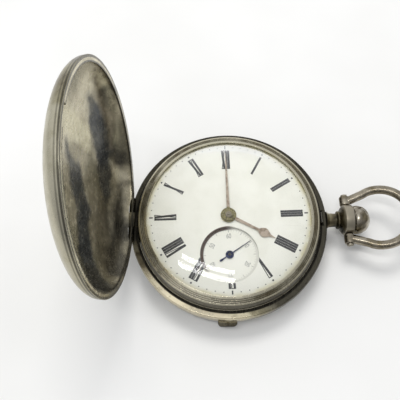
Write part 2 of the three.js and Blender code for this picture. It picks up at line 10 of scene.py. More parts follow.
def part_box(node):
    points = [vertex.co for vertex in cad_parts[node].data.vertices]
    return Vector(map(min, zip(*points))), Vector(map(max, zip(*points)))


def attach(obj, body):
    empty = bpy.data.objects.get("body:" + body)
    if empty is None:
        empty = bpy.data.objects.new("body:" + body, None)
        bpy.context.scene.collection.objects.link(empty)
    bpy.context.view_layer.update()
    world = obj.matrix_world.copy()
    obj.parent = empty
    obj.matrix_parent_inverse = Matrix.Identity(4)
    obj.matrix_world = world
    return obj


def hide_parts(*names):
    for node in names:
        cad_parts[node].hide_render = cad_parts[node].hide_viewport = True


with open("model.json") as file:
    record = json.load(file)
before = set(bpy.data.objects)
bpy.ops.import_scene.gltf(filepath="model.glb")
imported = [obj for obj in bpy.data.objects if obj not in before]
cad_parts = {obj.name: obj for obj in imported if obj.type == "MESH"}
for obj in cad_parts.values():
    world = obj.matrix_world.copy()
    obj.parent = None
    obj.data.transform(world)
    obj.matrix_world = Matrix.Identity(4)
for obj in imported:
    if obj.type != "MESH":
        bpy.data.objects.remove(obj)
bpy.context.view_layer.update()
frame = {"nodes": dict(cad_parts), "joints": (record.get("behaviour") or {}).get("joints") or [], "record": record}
nodes = frame["nodes"]
scene = bpy.context.scene

# Shapes are made in millimetres and scaled to metres when they are placed.
MM = 0.001
X, Y, Z = Vector((1, 0, 0)), Vector((0, 1, 0)), Vector((0, 0, 1))
joints = {joint["name"]: joint for joint in frame["joints"]}


def pivot(joint):
    """A joint's pivot in millimetres."""
    return Vector(joints[joint]["pos_m"]) / MM


def levels(node):
    """A CAD node's lowest and highest z in millimetres."""
    low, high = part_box(node)
    return low.z / MM, high.z / MM


# ---------------- shapes
def polar(radius, angle, centre=(0, 0)):
    a = radians(angle)
    return centre[0] + radius * cos(a), centre[1] + radius * sin(a)


def link_object(name, data):
    obj = bpy.data.objects.new(name, data)
    scene.collection.objects.link(obj)
    return obj


def from_faces(name, verts, faces, merge=True):
    mesh = bpy.data.meshes.new(name)
    mesh.from_pydata([tuple(v) for v in verts], [], faces)
    obj = link_object(name, mesh)
    tidy_mesh(obj, merge)
    return obj


def tidy_mesh(obj, merge=True):
    """Merges points in the same place and turns every face outwards."""
    bm = bmesh.new()
    bm.from_mesh(obj.data)
    if merge:
        bmesh.ops.remove_doubles(bm, verts=bm.verts, dist=1e-5)
    bmesh.ops.recalc_face_normals(bm, faces=bm.faces)
    bm.to_mesh(obj.data)
    bm.free()


def rounded(points, radius, closed=True, steps=4):
    """A polyline with its corners rounded."""
    points = [Vector(p) for p in points]
    count = len(points)
    result = []
    for i, p in enumerate(points):
        if not closed and i in (0, count - 1):
            result.append(p)
            continue
        before, after = points[i - 1] - p, points[(i + 1) % count] - p
        reach = min(radius, 0.45 * before.length, 0.45 * after.length)
        a, b = p + before.normalized() * reach, p + after.normalized() * reach
        for k in range(steps + 1):
            t = k / steps
            result.append(a * (1 - t) ** 2 + p * 2 * t * (1 - t) + b * t * t)
    return [tuple(p) for p in result]


def lathe(name, profile, segments=192):
    """Turns (radius, z) pairs about Z. The profile closes on itself, or on the axis."""
    closed = profile[0][0] > 1e-6
    verts, rings = [], []
    for r, z in profile:
        if r < 1e-6:
            rings.append([len(verts)] * segments)
            verts.append((0, 0, z))
            continue
        rings.append([len(verts) + i for i in range(segments)])
        verts += [(*polar(r, 360 * i / segments), z) for i in range(segments)]
    faces = []
    for a, b in zip(rings, rings[1:] + rings[:1] if closed else rings[1:]):
        for i in range(segments):
            j = (i + 1) % segments
            corners = list(dict.fromkeys((a[i], a[j], b[j], b[i])))
            if len(corners) > 2:
                faces.append(corners)
    return from_faces(name, verts, faces)


def turn_to(obj, axis, origin):
    """Moves a lathed shape from the Z axis onto another axis through origin."""
    turn = Z.rotation_difference(Vector(axis)).to_matrix().to_4x4()
    obj.data.transform(Matrix.Translation(origin) @ turn)
    return obj


def rod(name, radius, start, end, segments=48, edge=0.0):
    start, end = Vector(start), Vector(end)
    length = (end - start).length
    profile = rounded([(0, 0), (radius, 0), (radius, length), (0, length)], edge, closed=False)
    return turn_to(lathe(name, profile, segments), end - start, start)


def mesh_filled(name, fill):
    """A mesh made by a function that fills a bmesh."""
    bm = bmesh.new()
    fill(bm)
    mesh = bpy.data.meshes.new(name)
    bm.to_mesh(mesh)
    bm.free()
    return mesh


def block(name, centre, size):
    mesh = mesh_filled(name, lambda bm: bmesh.ops.create_cube(bm, size=1))
    mesh.transform(Matrix.Translation(centre) @ Matrix.Diagonal((*size, 1)))
    return link_object(name, mesh)


def mesh_of(obj):
    """The object's evaluated mesh, once the object itself is no longer needed."""
    graph = bpy.context.evaluated_depsgraph_get()
    mesh = bpy.data.meshes.new_from_object(obj.evaluated_get(graph))
    bpy.data.objects.remove(obj)
    return mesh


def combine(target, others, operation):
    for other in others:
        modifier = target.modifiers.new("combine", "BOOLEAN")
        modifier.operation = operation
        modifier.solver = "EXACT"
        modifier.object = other
    name = target.name
    mesh = mesh_of(target)
    for other in others:
        bpy.data.objects.remove(other)
    obj = link_object(name, mesh)
    obj.name = name
    return obj


def join(target, *others):
    return combine(target, others, "UNION")


def cut(target, *others):
    return combine(target, others, "DIFFERENCE")


def circle(radius, centre=(0, 0), count=64):
    return [polar(radius, 360 * i / count, centre) for i in range(count)]


def flat(name, outlines, low, high, bevel=0.03):
    """A flat piece with bevelled edges. Outlines inside another are holes."""
    curve = bpy.data.curves.new(name, "CURVE")
    curve.dimensions = "2D"
    curve.fill_mode = "BOTH"
    curve.extrude = (high - low) / 2 - bevel
    curve.bevel_depth = bevel
    curve.offset = -bevel
    curve.bevel_resolution = 1
    for outline in outlines:
        spline = curve.splines.new("POLY")
        spline.points.add(len(outline) - 1)
        for point, (x, y) in zip(spline.points, outline):
            point.co = (x, y, 0, 1)
        spline.use_cyclic_u = True
    mesh = mesh_of(link_object(name, curve))
    mesh.transform(Matrix.Translation((0, 0, (low + high) / 2)))
    obj = link_object(name, mesh)
    tidy_mesh(obj)
    return obj


def merged(name, parts):
    """One object holding several separate shapes."""
    def fill(bm):
        for part in parts:
            bm.from_mesh(part.data)
            bpy.data.objects.remove(part)
    return link_object(name, mesh_filled(name, fill))


def moved(obj, x=0.0, y=0.0, z=0.0, turn=0.0):
    obj.data.transform(Matrix.Translation((x, y, z)) @ Matrix.Rotation(radians(turn), 4, "Z"))
    return obj


def spline_through(points, per_span=8):
    """Catmull-Rom points through an open line."""
    points = [Vector(p) for p in points]
    padded = [2 * points[0] - points[1], *points, 2 * points[-1] - points[-2]]
    result = []
    for a, b, c, d in zip(padded, padded[1:], padded[2:], padded[3:]):
        for k in range(per_span):
            t = k / per_span
            result.append(
                0.5 * (2 * b + (c - a) * t + (2 * a - 5 * b + 4 * c - d) * t * t
                       + (3 * b - a - 3 * c + d) * t ** 3))
    return [*result, points[-1]]


def wire(name, path, radius, segments=28):
    """A round wire along a path that lies in a plane of constant z."""
    path = [Vector(p) for p in path]
    verts, faces = [], []
    for i, p in enumerate(path):
        along = (path[min(i + 1, len(path) - 1)] - path[max(i - 1, 0)]).normalized()
        side = along.cross(Z)
        for k in range(segments):
            a = 2 * pi * k / segments
            verts.append(p + side * (radius * cos(a)) + Z * (radius * sin(a)))
    for i in range(len(path) - 1):
        for k in range(segments):
            j = (k + 1) % segments
            a, b = i * segments, (i + 1) * segments
            faces.append((a + k, a + j, b + j, b + k))
    faces.append(tuple(range(segments)))
    faces.append(tuple(range(len(verts) - segments, len(verts))))
    return from_faces(name, verts, faces)


def level_shading(mesh, least=2.0):
    """Shades level areas flat, so that the round edges beside them do not bend their light."""
    bm = bmesh.new()
    bm.from_mesh(mesh)
    seen = set()
    for start in bm.faces:
        if start in seen:
            continue
        seen.add(start)
        area, waiting = [start], [start]
        while waiting:
            for edge in waiting.pop().edges:
                for face in edge.link_faces:
                    if face not in seen and face.normal.dot(start.normal) > 0.9999999:
                        seen.add(face)
                        area.append(face)
                        waiting.append(face)
        if sum(face.calc_area() for face in area) > least:
            for face in area:
                face.smooth = False
    bm.to_mesh(mesh)
    bm.free()


def place(obj, body, material, stands_for=(), angle=32):
    """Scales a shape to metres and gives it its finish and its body."""
    obj.data.shade_smooth()
    obj.data.set_sharp_from_angle(angle=radians(angle))
    level_shading(obj.data)
    obj.data.transform(Matrix.Scale(MM, 4))
    obj.data.materials.clear()
    obj.data.materials.append(material)
    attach(obj, body)
    if stands_for:
        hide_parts(*stands_for)
    return obj


# ---------------- materials
CREAM = (0.66, 0.61, 0.46)
OLIVE = (0.33, 0.30, 0.20)
BROWN = (0.165, 0.138, 0.085)
BLACK = (0.036, 0.033, 0.025)
TAN = (0.36, 0.31, 0.22)
SLATE = (0.060, 0.066, 0.070)
GRIME = (0.022, 0.019, 0.013)


class Graph:
    """A material's node graph."""

    def __init__(self, name):
        self.material = bpy.data.materials.new(name)
        self.material.use_nodes = True
        self.tree = self.material.node_tree
        self.tree.nodes.clear()
        self.output = self.tree.nodes.new("ShaderNodeOutputMaterial")
        coordinates = self.tree.nodes.new("ShaderNodeTexCoord").outputs["Object"]
        self.mm = self.vector("SCALE", coordinates, 1 / MM)

    def node(self, kind, inputs, output=0, **settings):
        made = self.tree.nodes.new("ShaderNode" + kind)
        for key, value in settings.items():
            setattr(made, key, value)
        for key, value in inputs.items():
            if isinstance(value, bpy.types.NodeSocket):
                self.tree.links.new(value, made.inputs[key])
            else:
                made.inputs[key].default_value = value
        return made.outputs[output]

    def vector(self, operation, a, b):
        """Vector arithmetic. SCALE takes its factor from the node's fourth input."""
        second = 3 if operation == "SCALE" else 1
        return self.node("VectorMath", {0: a, second: b}, operation=operation)

    def math(self, operation, a, b=0.0, clamp=False):
        return self.node("Math", {0: a, 1: b}, operation=operation, use_clamp=clamp)

    def times(self, a, b):
        return self.math("MULTIPLY", a, b)

    def plus(self, a, b):
        return self.math("ADD", a, b)

    def minus(self, a, b):
        return self.math("SUBTRACT", a, b)

    def weigh(self, x, a, y, b):
        """x times a, plus y times b."""
        return self.plus(self.times(x, a), self.times(y, b))

    def length(self, x, y):
        return self.math("SQRT", self.weigh(x, x, y, y))

    def between(self, value, low, high, soft):
        """1 between two values, fading to 0 over soft outside them."""
        return self.times(self.span(value, low - soft, low), self.span(value, high + soft, high))

    def stretched(self, scale, turn=(0, 0, 0)):
        turn = tuple(radians(t) for t in turn)
        return self.node("Mapping", {"Vector": self.mm, "Rotation": turn, "Scale": scale})

    def noise(self, scale, detail=4.0, roughness=0.55, distortion=0.0, at=None):
        return self.node("TexNoise", {
            "Vector": at or self.mm, "Scale": scale, "Detail": detail,
            "Roughness": roughness, "Distortion": distortion})

    def span(self, value, low, high, to_low=0.0, to_high=1.0):
        return self.node("MapRange", {
            "Value": value, "From Min": low, "From Max": high,
            "To Min": to_low, "To Max": to_high}, interpolation_type="SMOOTHSTEP")

    def ramp(self, value, stops):
        made = self.tree.nodes.new("ShaderNodeValToRGB")
        elements = made.color_ramp.elements
        while len(elements) < len(stops):
            elements.new(0.5)
        for element, (position, colour) in zip(elements, stops):
            element.position = position
            element.color = (*colour, 1)
        self.tree.links.new(value, made.inputs[0])
        return made.outputs[0]

    def mix(self, share, a, b):
        """Colour a turning into colour b as share goes from 0 to 1."""
        def colour(value):
            return value if isinstance(value, bpy.types.NodeSocket) else (*value, 1)
        return self.node("Mix", {0: share, 6: colour(a), 7: colour(b)}, 2, data_type="RGBA")

    def bump(self, height, distance, strength=1.0, normal=None):
        inputs = {"Height": height, "Distance": distance * MM, "Strength": strength}
        if normal is not None:
            inputs["Normal"] = normal
        return self.node("Bump", inputs)

    def parts(self, vector=None):
        return self.node("SeparateXYZ", {0: vector or self.mm}).node.outputs

    def around(self, centre):
        """x, y and the distance from the axis through a point."""
        x, y, _ = self.parts(self.vector("SUBTRACT", self.mm, centre))
        return x, y, self.length(x, y)

    def pointiness(self):
        """Below 0.5 in a corner and above it on an edge."""
        return self.node("NewGeometry", {}, "Pointiness")

    def streak(self, start, end, widths):
        """1 inside a tapering streak between two (y, z) points, with a wavering edge."""
        waver = self.node("TexNoise", {"Vector": self.mm, "Scale": 0.25, "Detail": 5.0}, 1)
        shift = self.vector("SCALE", self.vector("SUBTRACT", waver, (0.5, 0.5, 0.5)), 4.5)
        _, y, z = self.parts(self.vector("ADD", self.mm, shift))
        across, up = end[0] - start[0], end[1] - start[1]
        square = across * across + up * up
        y0, z0 = self.minus(y, start[0]), self.minus(z, start[1])
        along = self.math("ADD", self.times(y0, across / square),
                          self.times(z0, up / square), clamp=True)
        dy = self.minus(y0, self.times(along, across))
        dz = self.minus(z0, self.times(along, up))
        off = self.length(dy, dz)
        width = self.span(along, 0, 1, *widths)
        return self.span(self.minus(off, width), 1.65, -1.1)

    def surface(self, **inputs):
        named = {key.replace("_", " "): value for key, value in inputs.items()}
        shader = self.node("BsdfPrincipled", named)
        self.tree.links.new(shader, self.output.inputs["Surface"])
        return self.material


def scratches(graph, amount=1.0):
    """Fine scratches in three directions, as a height from 0 to 1."""
    total = None
    for turn, scale in (((0, 0, 12), (9, 0.35, 2)), ((0, 25, 64), (7, 0.3, 3)),
                        ((20, 0, 131), (11, 0.45, 2))):
        fine = graph.noise(1.0, 2.0, 0.5, at=graph.stretched(scale, turn))
        line = graph.span(fine, 0.60, 0.68)
        total = line if total is None else graph.math("MAXIMUM", total, line)
    return graph.times(total, amount)


def silver(name, tones, blotch=0.07, rough=(0.2, 0.42), extra=None, dents=0.02, scratched=0.6,
           grime=0.3, metallic=1.0):
    """Old silver: mottled tarnish, black grime in the corners, bright worn edges, scratches."""
    graph = Graph(name)
    broad = graph.noise(blotch, 3.0, 0.5, 0.4)
    small = graph.noise(0.55, 4.0, 0.5)
    grain = graph.noise(6.0, 3.0, 0.6)
    shade = graph.weigh(broad, 0.8, small, 0.2)
    colour = graph.ramp(graph.span(shade, 0.36, 0.64), tones)
    pits = graph.span(grain, 0.60, 0.76, 0.0, grime)
    colour = graph.mix(pits, colour, GRIME)
    point = graph.pointiness()
    hollow = graph.span(point, 0.5, 0.44)
    edge = graph.span(point, 0.53, 0.62, 0.0, 0.5)
    colour = graph.mix(hollow, colour, GRIME)
    colour = graph.mix(edge, colour, tones[-1][1])
    if extra:
        colour = extra(graph, colour)
    lines = scratches(graph, scratched)
    colour = graph.mix(graph.times(lines, 0.25), colour, tones[-1][1])
    roughness = graph.span(small, 0.3, 0.7, *rough)
    roughness = graph.plus(roughness, graph.times(hollow, 0.25))
    roughness = graph.math("ADD", roughness, graph.times(lines, 0.08), clamp=True)
    normal = graph.bump(graph.noise(0.35, 2.0, 0.5), dents)
    normal = graph.bump(lines, -0.002, 0.5, normal)
    normal = graph.bump(grain, 0.003, 0.4, normal)
    return graph.surface(Base_Color=colour, Metallic=metallic, Roughness=roughness, Normal=normal)


def plain_metal(name, light, dark, rough, grain_scale=6.0, grain_height=0.002, blotch=0.5,
                brushed=None, extra=None):
    """Metal with faint staining, a fine grain, and optional brushing in one direction."""
    graph = Graph(name)
    stain = graph.noise(blotch, 5.0, 0.6, 0.3)
    if brushed:
        grain = graph.noise(1.0, 3.0, 0.6, at=graph.stretched(brushed))
    else:
        grain = graph.noise(grain_scale, 4.0, 0.65)
    colour = graph.ramp(graph.span(stain, 0.3, 0.7), [(0.0, dark), (0.55, light), (1.0, light)])
    colour = graph.mix(graph.span(grain, 0.58, 0.75, 0.0, 0.5), colour, dark)
    point = graph.pointiness()
    bright = tuple(min(1.0, 1.35 * c) for c in light)
    colour = graph.mix(graph.span(point, 0.53, 0.6, 0.0, 0.5), colour, bright)
    if extra:
        colour = extra(graph, colour)
    roughness = graph.span(grain, 0.3, 0.7, *rough)
    normal = graph.bump(grain, grain_height)
    return graph.surface(Base_Color=colour, Metallic=1.0, Roughness=roughness, Normal=normal)


def radius_mask(graph, low, high, soft):
    """1 between two distances from the watch's axis, fading over soft."""
    x, y, _ = graph.parts()
    r = graph.length(x, y)
    return graph.between(r, low, high, soft), r


def enamel(name, extra, age=True):
    """White enamel, yellowed at its rim, with faint specks and crazing under the gloss."""
    graph = Graph(name)
    cloud = graph.noise(0.16, 4.0, 0.5)
    colour = graph.ramp(graph.span(cloud, 0.3, 0.7), [
        (0.0, (0.79, 0.79, 0.71)), (0.5, (0.835, 0.835, 0.76)), (1.0, (0.855, 0.855, 0.785))])
    if age:
        rim, _ = radius_mask(graph, 20.6, 30, 1.6)
        waver = graph.span(graph.noise(0.3, 3.0), 0.3, 0.7, 0.25, 0.9)
        colour = graph.mix(graph.times(rim, waver), colour, (0.62, 0.56, 0.30))
    colour = extra(graph, colour)
    speck = graph.span(graph.noise(3.2, 3.0, 0.6), 0.70, 0.78, 0.0, 0.35)
    colour = graph.mix(speck, colour, (0.42, 0.38, 0.28))
    craze = graph.node("TexVoronoi", {"Vector": graph.mm, "Scale": 0.24}, 0, feature="DISTANCE_TO_EDGE")
    crack = graph.span(craze, 0.006, 0.0, 0.0, 0.10)
    colour = graph.mix(crack, colour, (0.35, 0.31, 0.24))
    roughness = graph.span(graph.noise(1.4, 4.0), 0.3, 0.7, 0.10, 0.2)
    normal = graph.bump(graph.noise(0.35, 2.0), 0.012)
    return graph.surface(Base_Color=colour, Roughness=roughness, Normal=normal, IOR=1.52,
                         Coat_Weight=0.5, Coat_Roughness=0.06)


def paint(name, dark, light):
    """Thin paint, denser in places."""
    graph = Graph(name)
    thin = graph.noise(5.0, 4.0, 0.6)
    colour = graph.ramp(graph.span(thin, 0.35, 0.75), [(0.0, dark), (1.0, light)])
    roughness = graph.span(thin, 0.3, 0.7, 0.25, 0.45)
    return graph.surface(Base_Color=colour, Roughness=roughness, Normal=graph.bump(thin, 0.002))


def clear_glass():
    """Thin clear glass: a faint haze and hairlines in its reflection."""
    graph = Graph("clear_glass")
    lines = scratches(graph, 0.35)
    haze = graph.span(graph.noise(0.5, 4.0), 0.35, 0.7, 0.02, 0.06)
    roughness = graph.plus(haze, graph.times(lines, 0.12))
    normal = graph.bump(graph.noise(0.12, 2.0), 0.01)
    gloss = graph.node("BsdfGlossy", {"Color": (1, 1, 1, 1), "Roughness": roughness, "Normal": normal})
    through = graph.node("BsdfTransparent", {"Color": (0.997, 0.998, 0.996, 1)})
    share = graph.times(graph.node("Fresnel", {"IOR": 1.5, "Normal": normal}), 0.55)
    mixed = graph.node("MixShader", {0: share, 1: through, 2: gloss})
    graph.tree.links.new(mixed, graph.output.inputs["Surface"])
    return graph.material


def jewel():
    graph = Graph("ruby")
    cloud = graph.noise(2.5, 3.0)
    colour = graph.ramp(cloud, [(0.3, (0.30, 0.01, 0.05)), (0.7, (0.62, 0.05, 0.16))])
    roughness = graph.span(cloud, 0.3, 0.7, 0.04, 0.12)
    return graph.surface(Base_Color=colour, Roughness=roughness, IOR=1.76, Coat_Weight=1.0,
                         Normal=graph.bump(cloud, 0.001))


# ---------------- finishes
SECONDS_AT = pivot("seconds_run")
COVER_OPEN = 95  # degrees from closed to rest
COVER_UP = Vector((*polar(1, COVER_OPEN), 0)).xzy  # from the hinge to the open cover's far edge
COVER_IN = COVER_UP.cross(Y)  # from its lip into its dome
COVER_CENTRE = pivot("front_cover_hinge") + 24.45 * COVER_UP - 0.5 * COVER_IN  # at its lip


def rim_lines(graph, colour):
    """Dark lines round both edges of the open cover's lip."""
    x, y, z = graph.parts(graph.vector("SUBTRACT", graph.mm, COVER_CENTRE))
    along = graph.weigh(x, COVER_UP.x, z, COVER_UP.z)
    r = graph.length(along, y)
    depth = graph.weigh(x, COVER_IN.x, z, COVER_IN.z)
    near = graph.times(graph.span(depth, 0.5, 0.3), 0.85)
    for low, high in ((23.2, 23.6), (24.2, 24.6)):
        line = graph.between(r, low, high, 0.06)
        colour = graph.mix(graph.times(line, near), colour, BLACK)
    outside = graph.times(graph.span(r, 24.28, 24.4), 0.8)
    for low, high, share in ((0.12, 0.42, 1.0), (0.78, 1.0, 0.6)):
        line = graph.times(graph.between(depth, low, high, 0.1), outside)
        colour = graph.mix(graph.times(line, share), colour, BLACK)
    return colour


def inside_tarnish(graph, colour):
    """Painted reflections and tarnish stains inside the front cover, blue-grey, brown, black and light, over a
    beige ground.
    """
    # painted reflections, with tarnish stains among them
    reflections_and_stains = (
        ((0.86, 0.80, 0.56), 0.7, (9.0, 42.0), (11.4, 30.5), (3.0, 2.4)),
        (BROWN, 0.7, (9.0, 17.5), (-14.0, 16.5), (2.4, 3.0)),
        (TAN, 0.45, (0.5, 22.6), (-9.0, 21.6), (1.2, 1.6)),
        (BLACK, 0.92, (23.0, 31.0), (14.0, 14.6), (1.3, 1.3)),
        (BLACK, 0.85, (8.5, 11.6), (-3.0, 9.8), (0.5, 1.9)),
        (BLACK, 0.85, (-3.0, 9.8), (-15.0, 14.6), (1.9, 1.9)),
        (SLATE, 0.85, (18.9, 34.0), (17.3, 28.3), (1.4, 2.8)),
        (SLATE, 0.9, (17.3, 28.3), (13.0, 20.8), (2.8, 3.2)),
        (SLATE, 0.75, (13.0, 20.8), (5.0, 16.5), (3.0, 2.2)),
        (SLATE, 0.8, (4.2, 39.5), (-0.4, 31.5), (0.9, 3.4)),
        (SLATE, 0.8, (-0.4, 31.5), (-5.3, 27.4), (3.4, 3.6)),
        (SLATE, 0.92, (-5.3, 26.6), (-13.4, 26.0), (3.0, 3.4)),
        (SLATE, 0.8, (-13.4, 26.0), (-18.5, 22.5), (3.2, 3.4)),
        (TAN, 0.8, (22.6, 36.6), (20.2, 23.4), (0.4, 0.9)),
        (TAN, 0.7, (20.2, 23.4), (15.8, 19.2), (0.9, 0.5)),
        (BLACK, 0.5, (2.8, 14.9), (-4.3, 14.3), (0.6, 0.8)),
        (BLACK, 0.6, (-18.0, 28.0), (-20.0, 18.0), (1.6, 2.4)),
    )
    for tone, share, start, end, widths in reflections_and_stains:
        mask = graph.times(graph.streak(start, end, widths), share)
        colour = graph.mix(mask, colour, tone)
    return rim_lines(graph, colour)


def darker_sides(graph, colour):
    """Painted shade all round the case, with heavier tarnish, but for its lower left, which is painted lit with a
    gold highlight; and painted shade in the groove at the bezel's foot.
    """
    x, y, _ = graph.parts()
    waver = graph.times(graph.noise(0.15, 3.0), 0.3)
    lit_side = graph.plus(graph.weigh(x, -0.018, y, -0.036), waver)
    # painted shade over all but the lower left
    colour = graph.mix(graph.span(lit_side, 1.0, 0.65, 0.0, 0.95), colour, BLACK)
    # painted gold highlight where the lower left is lit
    bright = graph.span(lit_side, 0.92, 1.12, 0.0, 0.62)
    colour = graph.mix(bright, colour, (0.88, 0.79, 0.58))
    # painted shade in the groove at the bezel's foot
    groove_shade, _ = radius_mask(graph, 22, 23.6, 0.2)
    return graph.mix(groove_shade, colour, (0.012, 0.011, 0.009))


def lighter_drum(graph, colour):
    """The pendant's drum is rubbed clean where its neck is black."""
    x = graph.parts()[0]
    return graph.mix(graph.span(x, 28.9, 29.6, 0.0, 0.8), colour, (0.42, 0.38, 0.30))


def darker_rim(graph, colour):
    """Painted shade over the back cover's rim and thumb lip, which lie in shadow."""
    rim, r = radius_mask(graph, 24.2, 30, 0.6)
    colour = graph.mix(graph.times(rim, 0.6), colour, BROWN)
    return graph.mix(graph.span(r, 24.9, 25.3, 0.0, 0.93), colour, BLACK)


BEZEL_GROOVES = (21.15, 21.55, 21.95)


def bezel_rings(graph, colour):
    """Painted shade and dirt in the bezel's turned grooves and under its edge; painted highlights on its bead, its
    foot and its inside, and painted light over its lower left.
    """
    x, y, _ = graph.parts()
    lit_side = graph.weigh(x, -0.024, y, -0.032)
    # painted light over the lower left
    colour = graph.mix(graph.span(lit_side, 0.45, 0.85, 0.0, 0.7), colour, (0.60, 0.56, 0.44))
    # painted shade and dirt in the grooves and under the edge; painted highlights on the inside and the bead
    groove_shades = [(at - 0.05, at + 0.05, 0.06, 0.7, BLACK) for at in BEZEL_GROOVES]
    for low, high, soft, share, tone in (
            (0, 20.95, 0.25, 0.75, (0.66, 0.62, 0.48)), *groove_shades,
            (22.08, 22.36, 0.08, 0.8, CREAM), (22.5, 22.94, 0.06, 0.85, BLACK)):
        ring, r = radius_mask(graph, low, high, soft)
        colour = graph.mix(graph.times(ring, share), colour, tone)
    # painted highlight on the foot
    foot = graph.span(r, 22.96, 23.02, 0.0, 0.8)
    return graph.mix(foot, colour, (0.50, 0.46, 0.36))


def hub_pattern(graph, colour):
    """The hands' round heads are olive, with dark specks."""
    disc, _ = radius_mask(graph, 0, 1.95, 0.05)
    speck = graph.span(graph.noise(2.6, 2.0), 0.5, 0.6)
    olive = graph.mix(speck, (0.30, 0.27, 0.13), (0.07, 0.06, 0.035))
    return graph.mix(disc, colour, olive)


def seconds_corner(graph, low, high):
    """The upper left of the ring between two radii of the sunk dial, and its radius."""
    x, y, r = graph.around(SECONDS_AT)
    side = graph.weigh(x, -0.86, y, 0.5)
    return graph.times(graph.span(side, 1.8, 4.2), graph.span(r, low, high)), r


def opening_edge(graph, colour):
    """A painted brown shadow line along the upper left of the opening over the sunk dial."""
    edge_shadow, _ = seconds_corner(graph, 7.25, 7.08)
    return graph.mix(edge_shadow, colour, (0.08, 0.042, 0.022))


def sunk_edge(graph, colour):
    """A painted brown shadow in the upper left of the sunk dial's corner, and painted grey shade in the rest of
    it.
    """
    edge_shadow, r = seconds_corner(graph, 6.2, 6.5)
    grey_shade = graph.times(graph.span(r, 6.3, 6.5), 0.5)
    return graph.mix(edge_shadow, graph.mix(grey_shade, colour, (0.52, 0.51, 0.47)), (0.055, 0.028, 0.014))


def turned_brass(name, extra=None):
    return plain_metal(name, (0.72, 0.53, 0.25), (0.38, 0.26, 0.11), (0.2, 0.34), brushed=(8, 8, 1),
                       extra=extra)


def wheel_metal(joint):
    """Brass, with a dark steel pinion and arbor on the joint's axis."""
    def arbor(graph, colour):
        _, _, r = graph.around(pivot(joint))
        return graph.mix(graph.span(r, 0.95, 0.85), colour, (0.11, 0.105, 0.095))
    return turned_brass("brass_" + joint, arbor)


case_silver = silver("case_silver", [(0.0, BLACK), (0.3, BROWN), (0.65, OLIVE), (1.0, CREAM)],
                     extra=darker_sides, scratched=0.2)
dark_silver = silver("dark_silver", [(0.0, BLACK), (0.6, BROWN), (1.0, OLIVE)], blotch=0.2,
                     rough=(0.28, 0.45), extra=lighter_drum)
bezel_silver = silver("bezel_silver", [(0.0, BROWN), (0.5, (0.23, 0.21, 0.145)), (1.0, (0.48, 0.44, 0.33))],
                      blotch=0.12, rough=(0.18, 0.34), extra=bezel_rings)
cover_silver = silver("cover_silver", [(0.0, BROWN), (0.4, OLIVE), (1.0, (0.52, 0.49, 0.38))],
                      blotch=0.05, rough=(0.22, 0.38), dents=0.03, extra=rim_lines)
cover_inside = silver("cover_inside", [(0.0, OLIVE), (0.45, (0.49, 0.44, 0.31)), (1.0, (0.72, 0.66, 0.49))],
                      blotch=0.09, rough=(0.16, 0.30), dents=0.04, extra=inside_tarnish, grime=0.4,
                      metallic=0.6)
back_silver = silver("back_silver", [(0.0, BROWN), (0.4, OLIVE), (1.0, CREAM)], blotch=0.06,
                     rough=(0.2, 0.4), dents=0.04, scratched=0.5, extra=darker_rim)
ball_silver = silver("ball_silver", [(0.0, BROWN), (0.5, (0.26, 0.23, 0.18)), (1.0, (0.5, 0.46, 0.38))],
                     blotch=0.22, rough=(0.2, 0.36), dents=0.06)
bow_silver = silver("bow_silver", [(0.0, BROWN), (0.45, (0.24, 0.21, 0.16)), (1.0, (0.42, 0.38, 0.30))],
                    blotch=0.15, rough=(0.2, 0.34), dents=0.03)
steel = plain_metal("polished_steel", (0.56, 0.56, 0.55), (0.22, 0.20, 0.17), (0.14, 0.3),
                    brushed=(0.6, 14, 14))
blued = plain_metal("blued_steel", (0.035, 0.045, 0.10), (0.012, 0.013, 0.02), (0.22, 0.36),
                    brushed=(1.0, 12, 12))
gold = plain_metal("hand_gold", (0.52, 0.43, 0.34), (0.24, 0.18, 0.13), (0.26, 0.42), blotch=0.6,
                   extra=hub_pattern)
worn_steel = plain_metal("worn_steel", (0.28, 0.25, 0.19), (0.08, 0.068, 0.05), (0.3, 0.45))
dark_steel = plain_metal("dark_steel", (0.10, 0.095, 0.08), (0.04, 0.035, 0.028), (0.3, 0.45))
gilt = plain_metal("frosted_gilt", (0.78, 0.58, 0.30), (0.42, 0.28, 0.12), (0.34, 0.5),
                   grain_scale=9.0, grain_height=0.006, blotch=0.25)
brass = turned_brass("wheel_brass")
white_enamel = enamel("white_enamel", opening_edge)
sunk_enamel = enamel("sunk_enamel", sunk_edge, age=False)
black_print = paint("black_print", (0.022, 0.022, 0.024), (0.06, 0.06, 0.062))
grey_print = paint("grey_print", (0.16, 0.16, 0.16), (0.30, 0.30, 0.29))
glass = clear_glass()
ruby = jewel()


# ---------------- case
class Hinge:
    """Three knuckles on one pin: the case holds the outer two, the cover the middle one."""

    def __init__(self, joint, along, radius, pin, middle, outer):
        self.centre, self.along = pivot(joint), along
        self.radius, self.pin, self.middle, self.outer = radius, pin, middle, outer

    def bar(self, radius, low, high, edge=0.0):
        return rod("bar", radius, self.centre + self.along * low, self.centre + self.along * high,
                   edge=edge)

    def case_knuckles(self):
        near = self.middle + 0.1
        return [self.bar(self.radius, near, self.outer, 0.12),
                self.bar(self.radius, -self.outer, -near, 0.12)]

    def case_relief(self):
        near = self.middle + 0.1
        return self.bar(self.radius + 0.15, -near, near)

    def cover_reliefs(self):
        far = self.outer + 0.1
        return [self.bar(self.radius + 0.15, self.middle, far),
                self.bar(self.radius + 0.15, -far, -self.middle)]

    def bore(self):
        return self.bar(self.pin + 0.05, -self.outer - 1, self.outer + 1)

    def on_cover(self, cover):
        cover = cut(cover, *self.cover_reliefs())
        return cut(join(cover, self.bar(self.radius, -self.middle, self.middle, 0.12)), self.bore())


